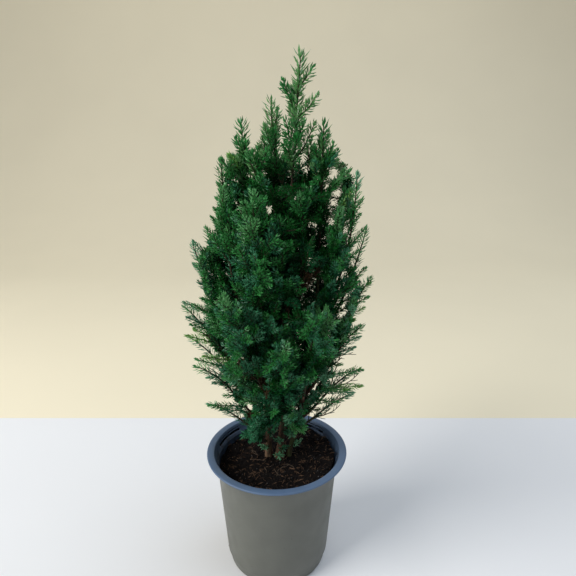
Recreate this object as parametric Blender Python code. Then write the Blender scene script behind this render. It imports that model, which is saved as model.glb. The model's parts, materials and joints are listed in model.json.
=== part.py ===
"""A young potted Lawson cypress: a multi-stemmed evergreen with upright plumes of juvenile needles.

It stands in a round plastic nursery pot of 90 mm, filled with compost. Everything is in metres,
with +Z up and the origin at the middle of the pot's flat underside.
"""

import math
import random
from collections import namedtuple

import bmesh
import bpy
import numpy as np
from mathutils import Matrix, Vector

MM = 0.001
ASLANT = Vector((0.3, 0.9, 0.1))

# Nursery pot, turned about Z
POT_SIDES = 24
POT_HEIGHT = 80 * MM
RIM_RADIUS = 45 * MM
MOUTH_RADIUS = 40.2 * MM
RIM_THICKNESS = 1.2 * MM
RIM_ROLL = 1.4 * MM
WALL = 1.0 * MM
WALL_TOP_RADIUS = 39.3 * MM
SHOULDER_DROP = 7 * MM
SHOULDER_STEP = 0.6 * MM
FOOT_TOP_RADIUS = 33.6 * MM
FOOT_HEIGHT = 8 * MM
BASE_RADIUS = 32.0 * MM
BASE_CHAMFER = 1.8 * MM
FLOOR = 1.4 * MM
DRAIN_COUNT = 6
DRAIN_RADIUS = 3.5 * MM
DRAIN_CIRCLE = 22 * MM
DRAIN_SIDES = 8

# Compost that fills the pot, higher towards its right and back
GAP = 0.3 * MM
COMPOST_SIDES = 24
COMPOST_RINGS = 5
COMPOST_LEVEL = 72 * MM
COMPOST_SLOPE_X = 0.085
COMPOST_SLOPE_Y = 0.03
COMPOST_LUMP = 1.1 * MM
COMPOST_FLAT_RADIUS = 13 * MM

# Stems: the radius at the foot, at the top, and of the flare at the compost
STEM_SIDES = 8
STEM_STEPS = 9
FLARE_HEIGHT = 9 * MM
Stem = namedtuple("Stem", "foot_radius tip_radius flare route")
STEMS = {
    "trunk": Stem(2.5, 0.8, 1.45, [(1.8, 2.4, 72.3), (4.6, 1.0, 107), (7.0, 0, 181), (9.4, 0, 248)]),
    "stem_left": Stem(2.1, 0.7, 1.3, [(-5.4, 3.0, 72.3), (-6.2, 2.0, 107), (-11.3, 3, 180), (-15, 5, 216)]),
    "stem_right": Stem(1.6, 0.7, 1.2, [(7.7, 3.4, 72.3), (13.6, 0.5, 103), (23, 0, 160), (25.2, 0, 208)]),
}

# Boughs and plumes: each has a parent stem and the height where it leaves it, then the bearing,
# reach and height of its tip and the plume's half width. Bearing 0 is to the right, 90 behind.
# A share of 0 sets the plume straight on its stem, and any other share of the way is a bare bough.
Plume = namedtuple("Plume", "stem foot bearing reach height half_width share")
PLUMES = {
    "leader": Plume("trunk", None, 0, 13.9, 316.5, 13, 0),
    "spire_left": Plume("stem_left", None, 157, 20.2, 283, 9, 0),
    "spire_right": Plume("stem_right", None, 0, 26.4, 282, 11, 0),
    "crown_left": Plume("trunk", 236, 116, 4.4, 294, 8, 0),
    "crown_right": Plume("trunk", 204, 8, 20, 273, 9, 0),
    "crown_back": Plume("trunk", 202, 108, 16, 280, 10, 0),
    "crown_inner": Plume("trunk", 190, 204, 10, 269, 10, 0),
    "crown_front": Plume("trunk", 140, 322, 19.5, 250, 12, 0.34),
    "crown_rear": Plume("trunk", 140, 88, 32, 250, 12, 0),
    "shoulder_left": Plume("stem_left", 176, 180, 29.5, 263, 10, 0.3),
    "face_left": Plume("stem_left", 142, 207, 31.5, 249, 11, 0.32),
    "flank_left": Plume("stem_left", 150, 177, 40, 225, 11, 0.32),
    "wing_left": Plume("stem_left", 128, 187, 47.5, 217, 12, 0.34),
    "rear_left": Plume("stem_left", 132, 134, 41, 228, 13, 0.3),
    "reach_left": Plume("stem_left", 114, 176, 57.2, 177, 13, 0.34),
    "low_left": Plume("stem_left", 102, 168, 58, 153, 11, 0.32),
    "skirt_left": Plume("stem_left", 95, 192, 51, 143, 12, 0),
    "hem_left": Plume("stem_left", 86, 172, 46.8, 108, 9, 0),
    "sprig_left": Plume("stem_left", 83, 215, 27, 98, 8, 0),
    "shoulder_right": Plume("stem_right", 164, 355, 45, 256, 12, 0.34),
    "rear_right": Plume("stem_right", 155, 21, 43, 257, 11, 0.3),
    "face_right": Plume("stem_right", 132, 346, 36, 238, 12, 0.3),
    "flank_right": Plume("stem_right", 148, 4, 53, 224, 8, 0.3),
    "wing_right": Plume("stem_right", 116, 0, 56.5, 196, 13, 0.3),
    "reach_right": Plume("stem_right", 107, 353, 53, 168, 12, 0.28),
    "low_right": Plume("stem_right", 99, 8, 55, 133, 10, 0.28),
    "hem_right": Plume("stem_right", 92, 14, 52.5, 112, 9, 0),
    "front_tall": Plume("trunk", 104, 248, 27, 248, 14, 0.28),
    "front_middle": Plume("trunk", 124, 278, 21, 235, 11, 0.3),
    "front_left": Plume("trunk", 98, 232, 44, 193, 14, 0.26),
    "front_right": Plume("stem_right", 104, 303, 44, 184, 14, 0.26),
    "front_low": Plume("trunk", 90, 276, 43, 166, 13, 0),
    "back_left": Plume("trunk", 106, 122, 50, 188, 14, 0.28),
    "back_right": Plume("stem_right", 96, 56, 51, 180, 14, 0),
    "back_low": Plume("trunk", 92, 94, 49, 142, 14, 0),
}

# The crown's outline: heights and how far out the foliage reaches there, in millimetres
CROWN_OUTLINE = [
    (80, 24), (92, 38), (105, 48), (130, 53), (150, 57), (180, 59), (205, 55), (225, 51), (245, 46),
    (262, 41), (283, 33), (297, 22), (316, 8), (320, 3),
]
CROWN_LEAN = 14
LEAN_FROM = 180

FOOT_HANDLE = 0.3
FOOT_OUTWARD = 0.4
TIP_HANDLE = 0.36
LEVEL_BELOW = 105 * MM
UPRIGHT_ABOVE = 255 * MM
LEAST_LIFT = -0.1
PATH_STEPS = 24
LIMB_SAMPLES = 60

# Boughs and plume stems
BOUGH_SIDES = 5
BOUGH_STEPS = 3
BOUGH_FOOT_RADIUS = 1.25 * MM
BOUGH_TIP_RADIUS = 0.85 * MM
PLUME_STEPS = 4
PLUME_SIDES = 3
PLUME_FOOT_RADIUS = 1.0 * MM
PLUME_TIP_RADIUS = 0.4 * MM

# Side shoots of a plume, set round its stem by the golden angle
GOLDEN_ANGLE = math.radians(137.5)
SHOOT_SPACING = 6.5 * MM
BARE_SHARE = 0.06
SHOOT_ANGLE_LOW = math.radians(46)
SHOOT_ANGLE_TIP = math.radians(27)
SHOOT_JITTER = math.radians(6)
LONGEST_SPRAY = 30 * MM
SHORTEST_SPRAY = 11 * MM
TWIG_FOOT_RADIUS = 0.75 * MM
TWIG_TIP_RADIUS = 0.45 * MM
TWIG_LIFT = 0.25
TERMINAL_SPRAY = 24 * MM
TERMINAL_SHARE = 0.75
LATERAL_SPRAY = 20 * MM
LATERAL_ANGLE = math.radians(38)
SHOOT_REACH = 2.1
FOOT_SHOOTS = 0.62
SHOOT_RISE = 1.1
SHOOT_FALL = 1.28
TIP_TAPER = 0.62
LEAST_OUTWARD = 12 * MM

# Each plume keeps to its own space, which is wider for a broader plume
STEM_CLEARANCE = 0.5 * MM
SPACE_CLEARANCE = 0.25 * MM
SPACE_WEIGHT = 0.15

# A spray of needles is a toothed blade: points as shares of its length, across and along
SPRAY_TEETH = [(0.29, 0.38), (0.17, 0.46), (0.3, 0.7), (0.12, 0.74)]
SPRAY_MIDDLE = 0.4
SPRAY_THICKNESS = 0.06
SPRAY_ROOT = 0.8 * MM
SPRAY_ROOT_SHARE = 0.8
SPRAY_ROLL = math.radians(50)
SPRAY_TURNS = (1, 0.7, 0.45)
SPRAY_SHRINK = 0.84

POT_COLOUR = (0.17, 0.172, 0.145)
COMPOST_COLOUR = (0.022, 0.014, 0.01)
BARK_COLOUR = (0.11, 0.062, 0.04)
SHOOT_BARK_COLOUR = (0.1, 0.075, 0.04)
NEEDLE_COLOUR = (0.025, 0.12, 0.045)


def clear_scene():
    for item in list(bpy.data.objects):
        bpy.data.objects.remove(item, do_unlink=True)


def plain_material(name, colour, roughness):
    """One Principled finish; nothing on the plant or the pot is metal."""
    material = bpy.data.materials.new(name)
    material.use_nodes = True
    shader = material.node_tree.nodes["Principled BSDF"]
    shader.inputs["Base Color"].default_value = (*colour, 1)
    shader.inputs["Roughness"].default_value = roughness
    shader.inputs["Metallic"].default_value = 0
    return material


def object_from(bm, name, material, smooth_angle=None):
    """Makes the bmesh an object in the scene, facing outwards."""
    bmesh.ops.recalc_face_normals(bm, faces=bm.faces)
    mesh = bpy.data.meshes.new(name)
    bm.to_mesh(mesh)
    bm.free()
    mesh.materials.append(material)
    if smooth_angle is not None:
        mesh.shade_smooth()
        mesh.set_sharp_from_angle(angle=smooth_angle)
    made = bpy.data.objects.new(name, mesh)
    bpy.context.scene.collection.objects.link(made)
    return made


def turned(profile, sides):
    """Spins an open profile of (radius, height) points, both ends on the axis, into a closed body."""
    bm = bmesh.new()
    points = [bm.verts.new((radius, 0, height)) for radius, height in profile]
    edges = [bm.edges.new(pair) for pair in zip(points, points[1:])]
    bmesh.ops.spin(
        bm,
        geom=points + edges,
        cent=(0, 0, 0),
        axis=(0, 0, 1),
        angle=math.tau,
        steps=sides,
        use_merge=True,
    )
    bmesh.ops.remove_doubles(bm, verts=bm.verts, dist=0.01 * MM)
    return bm


def wall_radius(height):
    """Outer radius of the pot's tapered wall, between its foot and its shoulder."""
    low, high = FOOT_HEIGHT, POT_HEIGHT - SHOULDER_DROP
    share = (height - low) / (high - low)
    return FOOT_TOP_RADIUS + share * (WALL_TOP_RADIUS - SHOULDER_STEP - FOOT_TOP_RADIUS)


def pot_profile():
    """Up the outside from the middle of the underside, over the rolled rim and down the inside."""
    shoulder = POT_HEIGHT - SHOULDER_DROP
    under_rim = POT_HEIGHT - RIM_ROLL
    outside = [
        (0, 0),
        (BASE_RADIUS - BASE_CHAMFER, 0),
        (BASE_RADIUS, BASE_CHAMFER),
        (FOOT_TOP_RADIUS, FOOT_HEIGHT),
        (wall_radius(shoulder), shoulder),
        (WALL_TOP_RADIUS, under_rim - RIM_THICKNESS / 2),
        (RIM_RADIUS - RIM_ROLL, under_rim),
        (RIM_RADIUS, under_rim + 0.5 * MM),
        (RIM_RADIUS - 0.6 * MM, POT_HEIGHT - 0.1 * MM),
    ]
    inside = [
        ((RIM_RADIUS + MOUTH_RADIUS) / 2, POT_HEIGHT),
        (MOUTH_RADIUS, POT_HEIGHT - 0.4 * MM),
        (wall_radius(shoulder) - WALL, shoulder),
        (FOOT_TOP_RADIUS - WALL, FOOT_HEIGHT),
        (BASE_RADIUS - BASE_CHAMFER - WALL, FLOOR),
        (0, FLOOR),
    ]
    return outside + inside


def drain_cutter(number):
    """One drainage hole through the pot's floor."""
    angle = math.tau * (number + 0.5) / DRAIN_COUNT
    bm = bmesh.new()
    bmesh.ops.create_cone(
        bm,
        cap_ends=True,
        segments=DRAIN_SIDES,
        radius1=DRAIN_RADIUS,
        radius2=DRAIN_RADIUS,
        depth=4 * FLOOR,
        matrix=Matrix.Rotation(angle, 4, "Z") @ Matrix.Translation((DRAIN_CIRCLE, 0, FLOOR / 2)),
    )
    return bm


def make_pot(material):
    pot = object_from(turned(pot_profile(), POT_SIDES), "pot", material, math.radians(35))
    holes = bpy.data.collections.new("drain_holes")
    bpy.context.scene.collection.children.link(holes)
    for number in range(DRAIN_COUNT):
        cutter = object_from(drain_cutter(number), f"drain_{number}", material)
        bpy.context.scene.collection.objects.unlink(cutter)
        holes.objects.link(cutter)
    join(pot, holes, "DIFFERENCE")


def compost_height(x, y):
    """The compost slopes up to the right and back, in soft lumps, and is flat round the stems' feet."""
    radius = math.hypot(x, y)
    lumps = math.sin(310 * x + 1.3) * math.cos(260 * y - 0.4) + 0.6 * math.sin(520 * y + 190 * x)
    slope = COMPOST_SLOPE_X * x + COMPOST_SLOPE_Y * y
    ease = min(1, max(0, (radius - COMPOST_FLAT_RADIUS) / COMPOST_FLAT_RADIUS))
    return COMPOST_LEVEL + ease * (slope + COMPOST_LUMP * lumps)


def make_compost(material):
    """A closed plug that follows the pot's inside with a small gap."""
    bm = bmesh.new()
    floor = FLOOR + GAP
    side = [
        (BASE_RADIUS - BASE_CHAMFER - WALL - 2 * GAP, floor),
        (FOOT_TOP_RADIUS - WALL - 2 * GAP, FOOT_HEIGHT + GAP),
    ]
    rings = []
    for radius, height in side:
        rings.append(ring_of(bm, radius, lambda x, y, level=height: level))
    top_radius = wall_radius(COMPOST_LEVEL - 4 * MM) - WALL - 2 * GAP
    for step in range(COMPOST_RINGS):
        radius = top_radius * (1 - step / COMPOST_RINGS)
        rings.append(ring_of(bm, radius, compost_height))
    for low, high in zip(rings, rings[1:]):
        bmesh.ops.bridge_loops(bm, edges=loop_edges(low) + loop_edges(high))
    bm.faces.new(rings[0])
    centre = bm.verts.new((0, 0, COMPOST_LEVEL))
    top = rings[-1]
    for index, vertex in enumerate(top):
        bm.faces.new((vertex, top[(index + 1) % len(top)], centre))
    object_from(bm, "compost", material)


def ring_of(bm, radius, height_at):
    """A closed ring of vertices about Z, joined by edges, at the height that height_at(x, y) gives."""
    made = []
    for index in range(COMPOST_SIDES):
        angle = math.tau * index / COMPOST_SIDES
        x, y = radius * math.cos(angle), radius * math.sin(angle)
        made.append(bm.verts.new((x, y, height_at(x, y))))
    for index, vertex in enumerate(made):
        bm.edges.new((vertex, made[(index + 1) % len(made)]))
    return made


def loop_edges(ring):
    pairs = zip(ring, ring[1:] + ring[:1])
    return [next(edge for edge in a.link_edges if b in edge.verts) for a, b in pairs]


def through(route, steps):
    """A smooth Catmull-Rom line through a few route points in millimetres."""
    points = [Vector(point) * MM for point in route]
    points = [2 * points[0] - points[1], *points, 2 * points[-1] - points[-2]]
    line = []
    spans = len(points) - 3
    for step in range(steps + 1):
        place = min(step * spans / steps, spans - 1e-9)
        index, t = int(place), place - int(place)
        a, b, c, d = points[index : index + 4]
        line.append(
            0.5 * (2 * b + (c - a) * t + (2 * a - 5 * b + 4 * c - d) * t**2 + (3 * b - a - 3 * c + d) * t**3)
        )
    return line


def bezier(a, b, c, d, steps):
    line = []
    for step in range(steps + 1):
        t = step / steps
        line.append((1 - t) ** 3 * a + 3 * (1 - t) ** 2 * t * b + 3 * (1 - t) * t**2 * c + t**3 * d)
    return line


def point_on(line, share):
    """The point at a share of the way along an evenly stepped line."""
    place = min(max(share, 0), 1) * (len(line) - 1)
    index = min(int(place), len(line) - 2)
    return line[index].lerp(line[index + 1], place - index)


def tangent_on(line, share):
    step = 0.5 / (len(line) - 1)
    return (point_on(line, share + step) - point_on(line, share - step)).normalized()


def length_of(line):
    return sum((b - a).length for a, b in zip(line, line[1:]))


def stem_radius(stem, height_share):
    """Taper of a stem, with the root flare near the compost."""
    body = stem.foot_radius + (stem.tip_radius - stem.foot_radius) * height_share
    rise = height_share * (stem.route[-1][2] - stem.route[0][2]) * MM / FLARE_HEIGHT
    return body * (1 + (stem.flare - 1) * max(0, 1 - rise) ** 2) * MM


def tube(line, radii, sides):
    """A closed tapering limb along a line, with flat ends."""
    bm = bmesh.new()
    across = (line[1] - line[0]).cross(ASLANT).normalized()
    rings = []
    for index, (centre, radius) in enumerate(zip(line, radii)):
        ahead = (line[min(index + 1, len(line) - 1)] - line[max(index - 1, 0)]).normalized()
        across = (across - ahead * across.dot(ahead)).normalized()
        other = ahead.cross(across)
        turns = [math.tau * side / sides for side in range(sides)]
        rings.append(
            [bm.verts.new(centre + radius * (math.cos(t) * across + math.sin(t) * other)) for t in turns]
        )
    for low, high in zip(rings, rings[1:]):
        for side in range(sides):
            after = (side + 1) % sides
            bm.faces.new((low[side], low[after], high[after], high[side]))
    bm.faces.new(rings[0][::-1])
    bm.faces.new(rings[-1])
    return bm


def taper(start, end, steps):
    return [start + (end - start) * step / steps for step in range(steps + 1)]


def make_stem(name, stem, material):
    line = through(stem.route, STEM_STEPS)
    foot = stem.route[0][2] * MM
    line.insert(1, line[0].lerp(line[1], 0.4))
    top = line[-1].z
    radii = [stem_radius(stem, (point.z - foot) / (top - foot)) for point in line]
    bm = tube(line, radii, STEM_SIDES)
    for vertex in list(bm.verts)[:STEM_SIDES]:
        vertex.co.z = foot
    object_from(bm, name, material, math.radians(60))


def place_of(bearing, reach, height):
    angle = math.radians(bearing)
    return Vector((reach * math.cos(angle), reach * math.sin(angle), height)) * MM


def stem_point(stem, height):
    """Where a stem's centre line passes a height, in millimetres: the point, its radius and its way."""
    line = through(stem.route, STEM_STEPS)
    share = (height - stem.route[0][2]) / (stem.route[-1][2] - stem.route[0][2])
    for low, high in zip(line, line[1:]):
        if high.z >= height * MM:
            break
    place = low.lerp(high, (height * MM - low.z) / (high.z - low.z))
    return place, stem_radius(stem, share), (high - low).normalized()


def plume_line(plume):
    """The line from a bough's foot on its stem to the plume's tip, and the share of it to leave clear.

    It leaves the stem outwards and turns up: high plumes stand upright and the lowest lie level.
    """
    stem = STEMS[plume.stem]
    tip = place_of(plume.bearing, plume.reach, plume.height)
    if plume.foot is None:
        start = through(stem.route, PATH_STEPS)[-1]
        line = [start.lerp(tip, step / PATH_STEPS) for step in range(PATH_STEPS + 1)]
        return line, GAP / length_of(line)
    foot, radius, along_stem = stem_point(stem, plume.foot)
    chord = tip - foot
    outward = Vector((chord.x, chord.y, 0)).normalized()
    lift = (tip.z - LEVEL_BELOW) / (UPRIGHT_ABOVE - LEVEL_BELOW)
    lift = min(1, max(LEAST_LIFT, lift))
    leaving = (chord.normalized() + FOOT_OUTWARD * outward).normalized()
    arriving = (outward * (1 - abs(lift)) + Vector((0, 0, lift))).normalized()
    size = chord.length
    line = bezier(
        foot, foot + leaving * size * FOOT_HANDLE, tip - arriving * size * TIP_HANDLE, tip, PATH_STEPS
    )
    first = BOUGH_FOOT_RADIUS if plume.share else PLUME_FOOT_RADIUS
    sideways = leaving.cross(along_stem).length
    clear = (radius + 2 * GAP + first * abs(leaving.dot(along_stem))) / sideways
    return line, clear / length_of(line)


def cut_line(line, start, end, steps):
    return [point_on(line, start + (end - start) * step / steps) for step in range(steps + 1)]


def bough_and_plume_lines():
    """Splits each plume's line at the share where its bare bough ends and its foliage starts."""
    boughs, stems = {}, {}
    for name, plume in PLUMES.items():
        line, clear = plume_line(plume)
        start = clear
        if plume.share:
            boughs[name] = cut_line(line, clear, plume.share, BOUGH_STEPS)
            start = plume.share + GAP / length_of(line)
        stems[name] = cut_line(line, start, 1, PATH_STEPS)
    return boughs, stems


class Crown:
    """Says whose space a point is in: each plume's foliage stays nearest to its own stem."""

    def __init__(self, boughs, stems):
        limbs, radii = [], []
        for stem in STEMS.values():
            line = through(stem.route, LIMB_SAMPLES)
            foot, top = line[0].z, line[-1].z
            limbs += line
            radii += [stem_radius(stem, (point.z - foot) / (top - foot)) for point in line]
        for line in boughs.values():
            limbs += cut_line(line, 0, 1, LIMB_SAMPLES)
            radii += [BOUGH_FOOT_RADIUS] * (LIMB_SAMPLES + 1)
        self.limbs, self.radii = np.array(limbs), np.array(radii)
        self.names = list(stems)
        self.lines = np.array([cut_line(line, 0, 1, LIMB_SAMPLES) for line in stems.values()])
        widths = np.array([PLUMES[name].half_width for name in self.names]) * MM
        self.weights = SPACE_WEIGHT * widths

    @staticmethod
    def inside(points):
        """Which points are inside the crown's outline, turned round its leaning middle."""
        heights, radii = zip(*CROWN_OUTLINE)
        lean = CROWN_LEAN * np.clip((points[:, 2] / MM - LEAN_FROM) / (heights[-1] - LEAN_FROM), 0, 1)
        reach = np.hypot(points[:, 0] / MM - lean, points[:, 1] / MM)
        return reach < np.interp(points[:, 2] / MM, heights, radii)

    def free(self, points, name):
        """True where every point is in this plume's space and clear of the stems and boughs."""
        points = np.array(points)
        if not self.inside(points).all():
            return False
        limb_gaps = np.linalg.norm(points[:, None] - self.limbs[None], axis=2) - self.radii
        if limb_gaps.min() < STEM_CLEARANCE:
            return False
        gaps = np.linalg.norm(points[:, None, None] - self.lines[None], axis=3).min(axis=2)
        own = self.names.index(name)
        others = np.delete(gaps, own, axis=1)
        if others.min() < PLUME_FOOT_RADIUS + STEM_CLEARANCE:
            return False
        margin = np.delete(gaps - self.weights, own, axis=1).min(axis=1) - gaps[:, own] + self.weights[own]
        return margin.min() > 2 * SPACE_CLEARANCE


def spray_outline(root, ahead, way, length):
    """One toothed edge of a spray, which stands off its middle line in the given way."""
    return [root + ahead * length * along + way * length * aside for aside, along in SPRAY_TEETH]


def spray(root, ahead, across, length, wings):
    """A closed spray of needles: toothed wings round a middle line, which they stand out of.

    Two wings make a flat blade, and three make a tip that is full from every side.
    """
    bm = bmesh.new()
    half = SPRAY_THICKNESS * length / 2
    turns = [Matrix.Rotation(math.tau * (number / wings), 3, ahead) for number in range(wings)]
    between = [Matrix.Rotation(math.tau * ((number + 0.5) / wings), 3, ahead) for number in range(wings)]
    tip = bm.verts.new(root + ahead * length)
    edges = [
        [bm.verts.new(point) for point in spray_outline(root, ahead, turn @ across, length)] for turn in turns
    ]
    middle = root + ahead * length * SPRAY_MIDDLE
    valleys = [bm.verts.new(middle + half * (turn @ across)) for turn in between]
    ends = [bm.verts.new(root + SPRAY_ROOT_SHARE * half * (turn @ across)) for turn in between]
    for number, edge in enumerate(edges):
        for side in (number, number - 1):
            line = [ends[side], *edge, tip]
            for a, b in zip(line, line[1:]):
                bm.faces.new((a, b, valleys[side]))
        bm.faces.new((ends[number], ends[number - 1], edge[0]))
    if wings > 2:
        bm.faces.new(ends)
    return bm


class Foliage:
    """Grows one plume: side shoots stand round the stem, and the long ones branch again."""

    def __init__(self, name, line, plume, crown, material):
        self.name, self.line, self.plume, self.crown, self.material = name, line, plume, crown, material
        self.random = random.Random(name)
        self.pieces = bpy.data.collections.new(f"{name}_pieces")
        bpy.context.scene.collection.children.link(self.pieces)

    def add(self, bm):
        piece = object_from(bm, f"{self.name}_piece", self.material)
        bpy.context.scene.collection.objects.unlink(piece)
        self.pieces.objects.link(piece)

    def add_spray(self, root, along, out, angle, length, wings=2):
        """Adds a spray that keeps to the plume's own space: turned in, or shorter, where it has to be."""
        roll = self.random.uniform(-SPRAY_ROLL, SPRAY_ROLL)
        while length >= SHORTEST_SPRAY:
            for share in SPRAY_TURNS:
                ahead = (along * math.cos(angle * share) + out * math.sin(angle * share)).normalized()
                across = Matrix.Rotation(roll, 3, ahead) @ facing_out(root, ahead)
                outline = [root + ahead * length]
                outline += spray_outline(root, ahead, across, length)
                outline += spray_outline(root, ahead, -across, length)
                tests = outline + [root.lerp(point, 0.5) for point in outline]
                tests = [point for point in tests if (point - root).length > 2 * MM]
                if self.crown.free(tests, self.name):
                    back = ahead * SPRAY_ROOT / 2
                    self.add(spray(root - back, ahead, across, length + back.length, wings))
                    return True
            length *= SPRAY_SHRINK
        return False

    def add_twig(self, root, along, out, angle, length):
        """A long side shoot: a thin twig that turns up, with laterals and a spray at its end."""
        ahead = (along * math.cos(angle) + out * math.sin(angle)).normalized()
        reach = length - TERMINAL_SHARE * TERMINAL_SPRAY
        bend = (ahead + Vector((0, 0, TWIG_LIFT))).normalized()
        middle = root + ahead * reach / 2
        line = [root, middle, middle + bend * reach / 2]
        if not self.crown.free(line[1:], self.name):
            return self.add_spray(root, along, out, angle, LONGEST_SPRAY)
        radii = taper(TWIG_FOOT_RADIUS, TWIG_TIP_RADIUS, len(line) - 1)
        self.add(tube(line, radii, PLUME_SIDES))
        side = facing_out(root, ahead)
        self.add_spray(line[2] - bend * SPRAY_ROOT, bend, side, 0, TERMINAL_SPRAY)
        for way in (1, -1):
            self.add_spray(middle, ahead, way * side, LATERAL_ANGLE, LATERAL_SPRAY)
        return True

    def shoot_length(self, share):
        """Side shoots are longest a third of the way up the plume, and shorten to its tip."""
        rising = min(1, FOOT_SHOOTS + SHOOT_RISE * share)
        falling = min(1, SHOOT_FALL * (1 - share) ** TIP_TAPER)
        length = SHOOT_REACH * self.plume.half_width * MM * rising * falling
        return max(SHORTEST_SPRAY * 1.2, length)

    def grow(self):
        radii = taper(PLUME_FOOT_RADIUS, PLUME_TIP_RADIUS, PLUME_STEPS)
        total = length_of(self.line)
        tip_share = 1 - TERMINAL_SHARE * TERMINAL_SPRAY / total
        core = cut_line(self.line, 0, tip_share, PLUME_STEPS)
        stem = object_from(tube(core, radii, PLUME_SIDES), f"foliage_{self.name}", self.material)
        root = core[-1].lerp(core[-2], 0.1)
        ahead = self.line[-1] - root
        self.add_spray(root, ahead.normalized(), facing_out(root, ahead), 0, ahead.length, wings=3)
        turn = self.random.uniform(0, math.tau)
        count = int(total * (tip_share - BARE_SHARE) / SHOOT_SPACING)
        for number in range(count):
            share = BARE_SHARE + (tip_share - BARE_SHARE) * (number + 0.5) / count
            turn += GOLDEN_ANGLE
            along = tangent_on(self.line, share)
            out = Matrix.Rotation(turn, 3, along) @ along.orthogonal().normalized()
            angle = SHOOT_ANGLE_LOW + (SHOOT_ANGLE_TIP - SHOOT_ANGLE_LOW) * share
            angle += self.random.uniform(-SHOOT_JITTER, SHOOT_JITTER)
            length = self.shoot_length(share)
            grow_shoot = self.add_twig if length > LONGEST_SPRAY else self.add_spray
            grow_shoot(point_on(self.line, share), along, out, angle, length)
        join(stem, self.pieces, "UNION")


def facing_out(root, ahead):
    """A level way across a shoot, so that a blade set along it faces out from the crown's middle."""
    outward = Vector((root.x, root.y, 0))
    if outward.length < LEAST_OUTWARD:
        outward = Vector((0, -1, 0))
    return ahead.cross(outward).normalized()


def join(target, pieces, operation):
    """Applies one Boolean with every object of a collection, then removes those objects."""
    modifier = target.modifiers.new("join", "BOOLEAN")
    modifier.operation = operation
    modifier.operand_type = "COLLECTION"
    modifier.collection = pieces
    modifier.solver = "MANIFOLD"
    bpy.context.view_layer.update()
    graph = bpy.context.evaluated_depsgraph_get()
    result = bpy.data.meshes.new_from_object(target.evaluated_get(graph))
    target.modifiers.clear()
    target.data = result
    for piece in list(pieces.objects):
        bpy.data.objects.remove(piece, do_unlink=True)
    bpy.data.collections.remove(pieces)
    drop_scraps(result)


def drop_scraps(mesh):
    """Keeps the largest connected piece of a mesh and drops any crumb that a Boolean leaves."""
    bm = bmesh.new()
    bm.from_mesh(mesh)
    left, groups = set(bm.verts), []
    while left:
        group, edge = set(), [left.pop()]
        while edge:
            vertex = edge.pop()
            group.add(vertex)
            near = {link.other_vert(vertex) for link in vertex.link_edges} & left
            left -= near
            edge += near
        groups.append(group)
    groups.sort(key=len)
    for group in groups[:-1]:
        bmesh.ops.delete(bm, geom=list(group), context="VERTS")
    bm.to_mesh(mesh)
    bm.free()


def make_boughs(boughs, material):
    for name, line in boughs.items():
        radii = taper(BOUGH_FOOT_RADIUS, BOUGH_TIP_RADIUS, BOUGH_STEPS)
        object_from(tube(line, radii, BOUGH_SIDES), f"bough_{name}", material)


def make_foliage(boughs, stems, material):
    crown = Crown(boughs, stems)
    for name, line in stems.items():
        Foliage(name, line, PLUMES[name], crown, material).grow()


def main():
    clear_scene()
    make_pot(plain_material("pot_plastic", POT_COLOUR, 0.55))
    make_compost(plain_material("compost", COMPOST_COLOUR, 0.95))
    bark = plain_material("stem_bark", BARK_COLOUR, 0.85)
    for name, stem in STEMS.items():
        make_stem(name, stem, bark)
    boughs, stems = bough_and_plume_lines()
    make_boughs(boughs, plain_material("bough_bark", SHOOT_BARK_COLOUR, 0.8))
    make_foliage(boughs, stems, plain_material("needles", NEEDLE_COLOUR, 0.6))


main()
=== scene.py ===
"""The looks of a potted Lawson cypress, laid out as an add-on.

Each operator makes one piece or a group of like pieces on the packed solids: the pot, the compost and
what lies on it, the bark of the stems and boughs, the twigs, the needles and the stage. Everything is
in metres in the frame of the solids, with +Z up and the pot's underside at the origin.
"""

import json
import math
import random
from collections import namedtuple

import bmesh
import bpy
import numpy as np
from bpy.props import FloatProperty, FloatVectorProperty, IntProperty, PointerProperty
from mathutils import Matrix, Vector, noise

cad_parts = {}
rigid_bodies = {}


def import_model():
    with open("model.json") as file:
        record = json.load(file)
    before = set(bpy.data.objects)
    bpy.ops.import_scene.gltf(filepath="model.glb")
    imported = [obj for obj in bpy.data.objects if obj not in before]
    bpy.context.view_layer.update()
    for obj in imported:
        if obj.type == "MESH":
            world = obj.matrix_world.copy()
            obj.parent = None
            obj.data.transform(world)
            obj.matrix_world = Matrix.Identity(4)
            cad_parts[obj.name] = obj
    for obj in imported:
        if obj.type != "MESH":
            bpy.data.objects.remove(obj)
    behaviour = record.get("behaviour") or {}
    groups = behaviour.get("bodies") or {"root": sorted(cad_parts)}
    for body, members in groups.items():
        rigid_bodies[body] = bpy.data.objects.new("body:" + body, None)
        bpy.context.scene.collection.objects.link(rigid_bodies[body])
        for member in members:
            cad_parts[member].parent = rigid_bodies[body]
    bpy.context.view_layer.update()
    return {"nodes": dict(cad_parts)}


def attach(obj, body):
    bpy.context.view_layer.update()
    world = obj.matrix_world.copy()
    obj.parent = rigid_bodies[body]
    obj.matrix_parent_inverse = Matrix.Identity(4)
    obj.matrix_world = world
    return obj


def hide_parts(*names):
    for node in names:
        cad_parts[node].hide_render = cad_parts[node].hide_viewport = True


bl_info = {
    "name": "Potted cypress",
    "version": (1, 0, 0),
    "blender": (4, 5, 0),
    "location": "View3D > Sidebar > Cypress",
    "description": "Makes the pot, compost, bark, twigs and needles of a young potted cypress",
    "category": "Object",
}

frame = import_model()
BODY = "root"

MM = 0.001
UP = Vector((0, 0, 1))

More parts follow.
